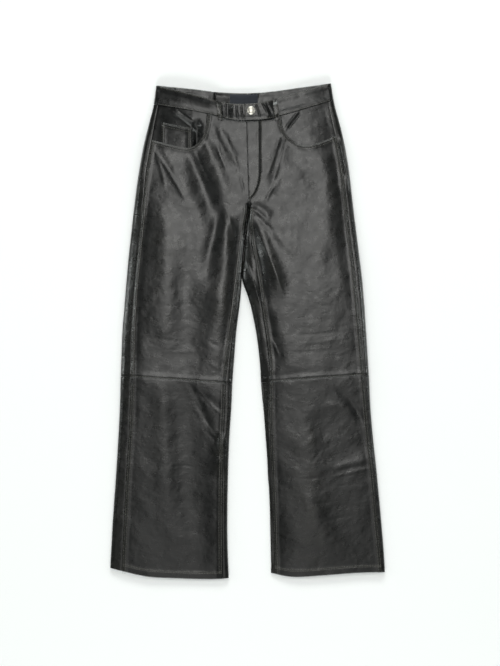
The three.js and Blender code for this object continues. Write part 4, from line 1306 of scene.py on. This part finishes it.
# The band's own rows: along both edges of each half, from the end of the lap to the side, and a short
# one down the left end. The loops have one row beside each edge.
BAND_STOP = SimpleNamespace(lap_end=3.0, side_foot=480.0, side_rise=30.0)
END_ROW = SimpleNamespace(low=446.0, high=474.0, sunk=0.3)
LOOP_STOP = 0.06
band_lines = []
for leg in (RIGHT, LEFT):
    for share in (BAND_ROW / BAND_WIDTH, 1 - BAND_ROW / BAND_WIDTH):
        side_y = BAND_STOP.side_foot + BAND_STOP.side_rise * share
        side = read(leg.plan, "outer", side_y) - leg.sign * TURN_RADIUS
        x = np.linspace(LAP.start + (BAND_STOP.lap_end if leg is LEFT else 0), side, 500)
        y = band_front_y(x, share)
        band_lines.append(np.column_stack([x, y, band_surface(leg, x, y, np.full_like(x, share))]))
y = np.linspace(END_ROW.low, END_ROW.high, 60)
x = np.full_like(y, LAP.start + BAND_ROW)
z = top_height(LEFT, x, y) + band_lap(LEFT, x) + BAND_PROUD - END_ROW.sunk
band_lines.append(np.column_stack([x, y, z]))
for leg in (RIGHT, LEFT):
    for side in (-1, 1):
        across = side * (LOOP.width / 2 - LOOP.row)
        x, y, z = loop_grid(leg, across, np.linspace(LOOP_STOP, 1 - LOOP_STOP, 80))
        band_lines.append(np.column_stack([x, y, z]))
stitches("topstitching_band", band_lines)

# The coin pocket's rows: two along its top hem and two down each side.
COIN_STOP = SimpleNamespace(side=0.04, top=2.0, foot=1.0)
coin_lines = []
share = np.linspace(COIN_STOP.side, 1 - COIN_STOP.side, 200)
for row in COIN_HEM_ROWS:
    x = lerp(COIN.start, COIN.end, share)
    y = lerp(*COIN.top, share) - row
    edge_gap = np.minimum(x - COIN.start, COIN.end - x)
    coin_lines.append(np.column_stack([x, y, coin_surface(x, y, edge_gap, 0 * x + row)]))
for row in COIN_SIDE_ROWS:
    for side in (COIN.start + row, COIN.end - row):
        place = (side - COIN.start) / (COIN.end - COIN.start)
        top, foot = lerp(*COIN.top, place), lerp(*COIN.foot, place)
        y = np.linspace(top - COIN_STOP.top, foot + COIN_STOP.foot, 120)
        x = np.full_like(y, side)
        coin_lines.append(np.column_stack([x, y, coin_surface(x, y, 0 * x + row, top - y)]))
stitches("topstitching_coin_pocket", coin_lines)


# Studio: a plain white surface, a soft panel over each end, a broad light past the head and the foot, a
# narrow strip on each side, a dim surround, and a camera straight overhead. Sizes are metres: where the
# camera stands, and how much the picture covers from top to foot at the height of the cloth.
VIEW = SimpleNamespace(x=0.0051, y=-0.0039, height=4.5, covers=1.3986, sharp_at=0.010)
FLOOR = SimpleNamespace(size=12, height=-0.0004)
bpy.ops.mesh.primitive_plane_add(size=FLOOR.size, location=(0, 0, FLOOR.height))
floor = bpy.context.object
floor.name = "floor"
paper = blank("white_paper_sweep")
place = node(paper, "ShaderNodeTexCoord").outputs["Object"]
fibre = node(paper, "ShaderNodeTexNoise", {"Vector": place, "Scale": 400.0, "Detail": 2.0})
tone = node(paper, "ShaderNodeMixRGB", {"Fac": fibre.outputs["Fac"], "Color1": srgb("#f4f4f4"),
                                        "Color2": srgb("#fafafa")})
matt = node(paper, "ShaderNodeBsdfPrincipled", {"Base Color": tone.outputs["Color"], "Roughness": 0.95})
node(paper, "ShaderNodeOutputMaterial", {"Surface": matt.outputs["BSDF"]})
floor.data.materials.append(paper)


def soft_light(name, size, place, aim, power, colour):
    """A rectangular soft light that faces a point on the surface."""
    light = bpy.data.lights.new(name, "AREA")
    light.shape, light.size, light.size_y = "RECTANGLE", size[0], size[1]
    light.energy, light.color = power, colour
    lamp = bpy.data.objects.new(name, light)
    lamp.location = place
    direction = np.array(aim, float) - np.array(place, float)
    lamp.rotation_euler = Vector(direction).to_track_quat("-Z", "Y").to_euler()
    lamp.visible_camera = False
    bpy.context.scene.collection.objects.link(lamp)


WARM = (1.0, 0.995, 0.97)
COOL = (0.95, 1.0, 0.98)
soft_light("overhead_soft", (0.72, 1.9), (0.0, 0.8, 2.75), (0.0, 0.8, 0.0), 20.5, WARM)
soft_light("overhead_foot", (0.9, 1.4), (-0.04, -0.85, 2.75), (-0.04, -0.85, 0.0), 4.1, WARM)
soft_light("head_wall", (2.6, 1.3), (0.0, 3.4, 2.1), (0.0, 0.2, 0.0), 98, COOL)
soft_light("foot_wall", (2.6, 1.3), (0.0, -3.4, 2.1), (0.0, 0.0, 0.0), 98, COOL)
soft_light("side_left", (0.16, 2.2), (-2.5, 0.2, 1.4), (0.0, 0.2, 0.0), 19, COOL)
soft_light("side_right", (0.16, 2.2), (2.5, 0.2, 1.4), (0.0, 0.2, 0.0), 19, COOL)

world = bpy.data.worlds.new("dim_surround")
bpy.context.scene.world = world
world.use_nodes = True
background = world.node_tree.nodes["Background"]
background.inputs["Color"].default_value = (1, 1, 1, 1)
background.inputs["Strength"].default_value = 0.04

camera_data = bpy.data.cameras.new("overhead_camera")
camera_data.sensor_fit = "VERTICAL"
camera_data.sensor_height = 36.0
camera_data.lens = camera_data.sensor_height * (VIEW.height - VIEW.sharp_at) / VIEW.covers
camera = bpy.data.objects.new("overhead_camera", camera_data)
camera.location = (VIEW.x, VIEW.y, VIEW.height)
bpy.context.scene.collection.objects.link(camera)
bpy.context.scene.camera = camera
bpy.context.scene.view_settings.view_transform = "Standard"
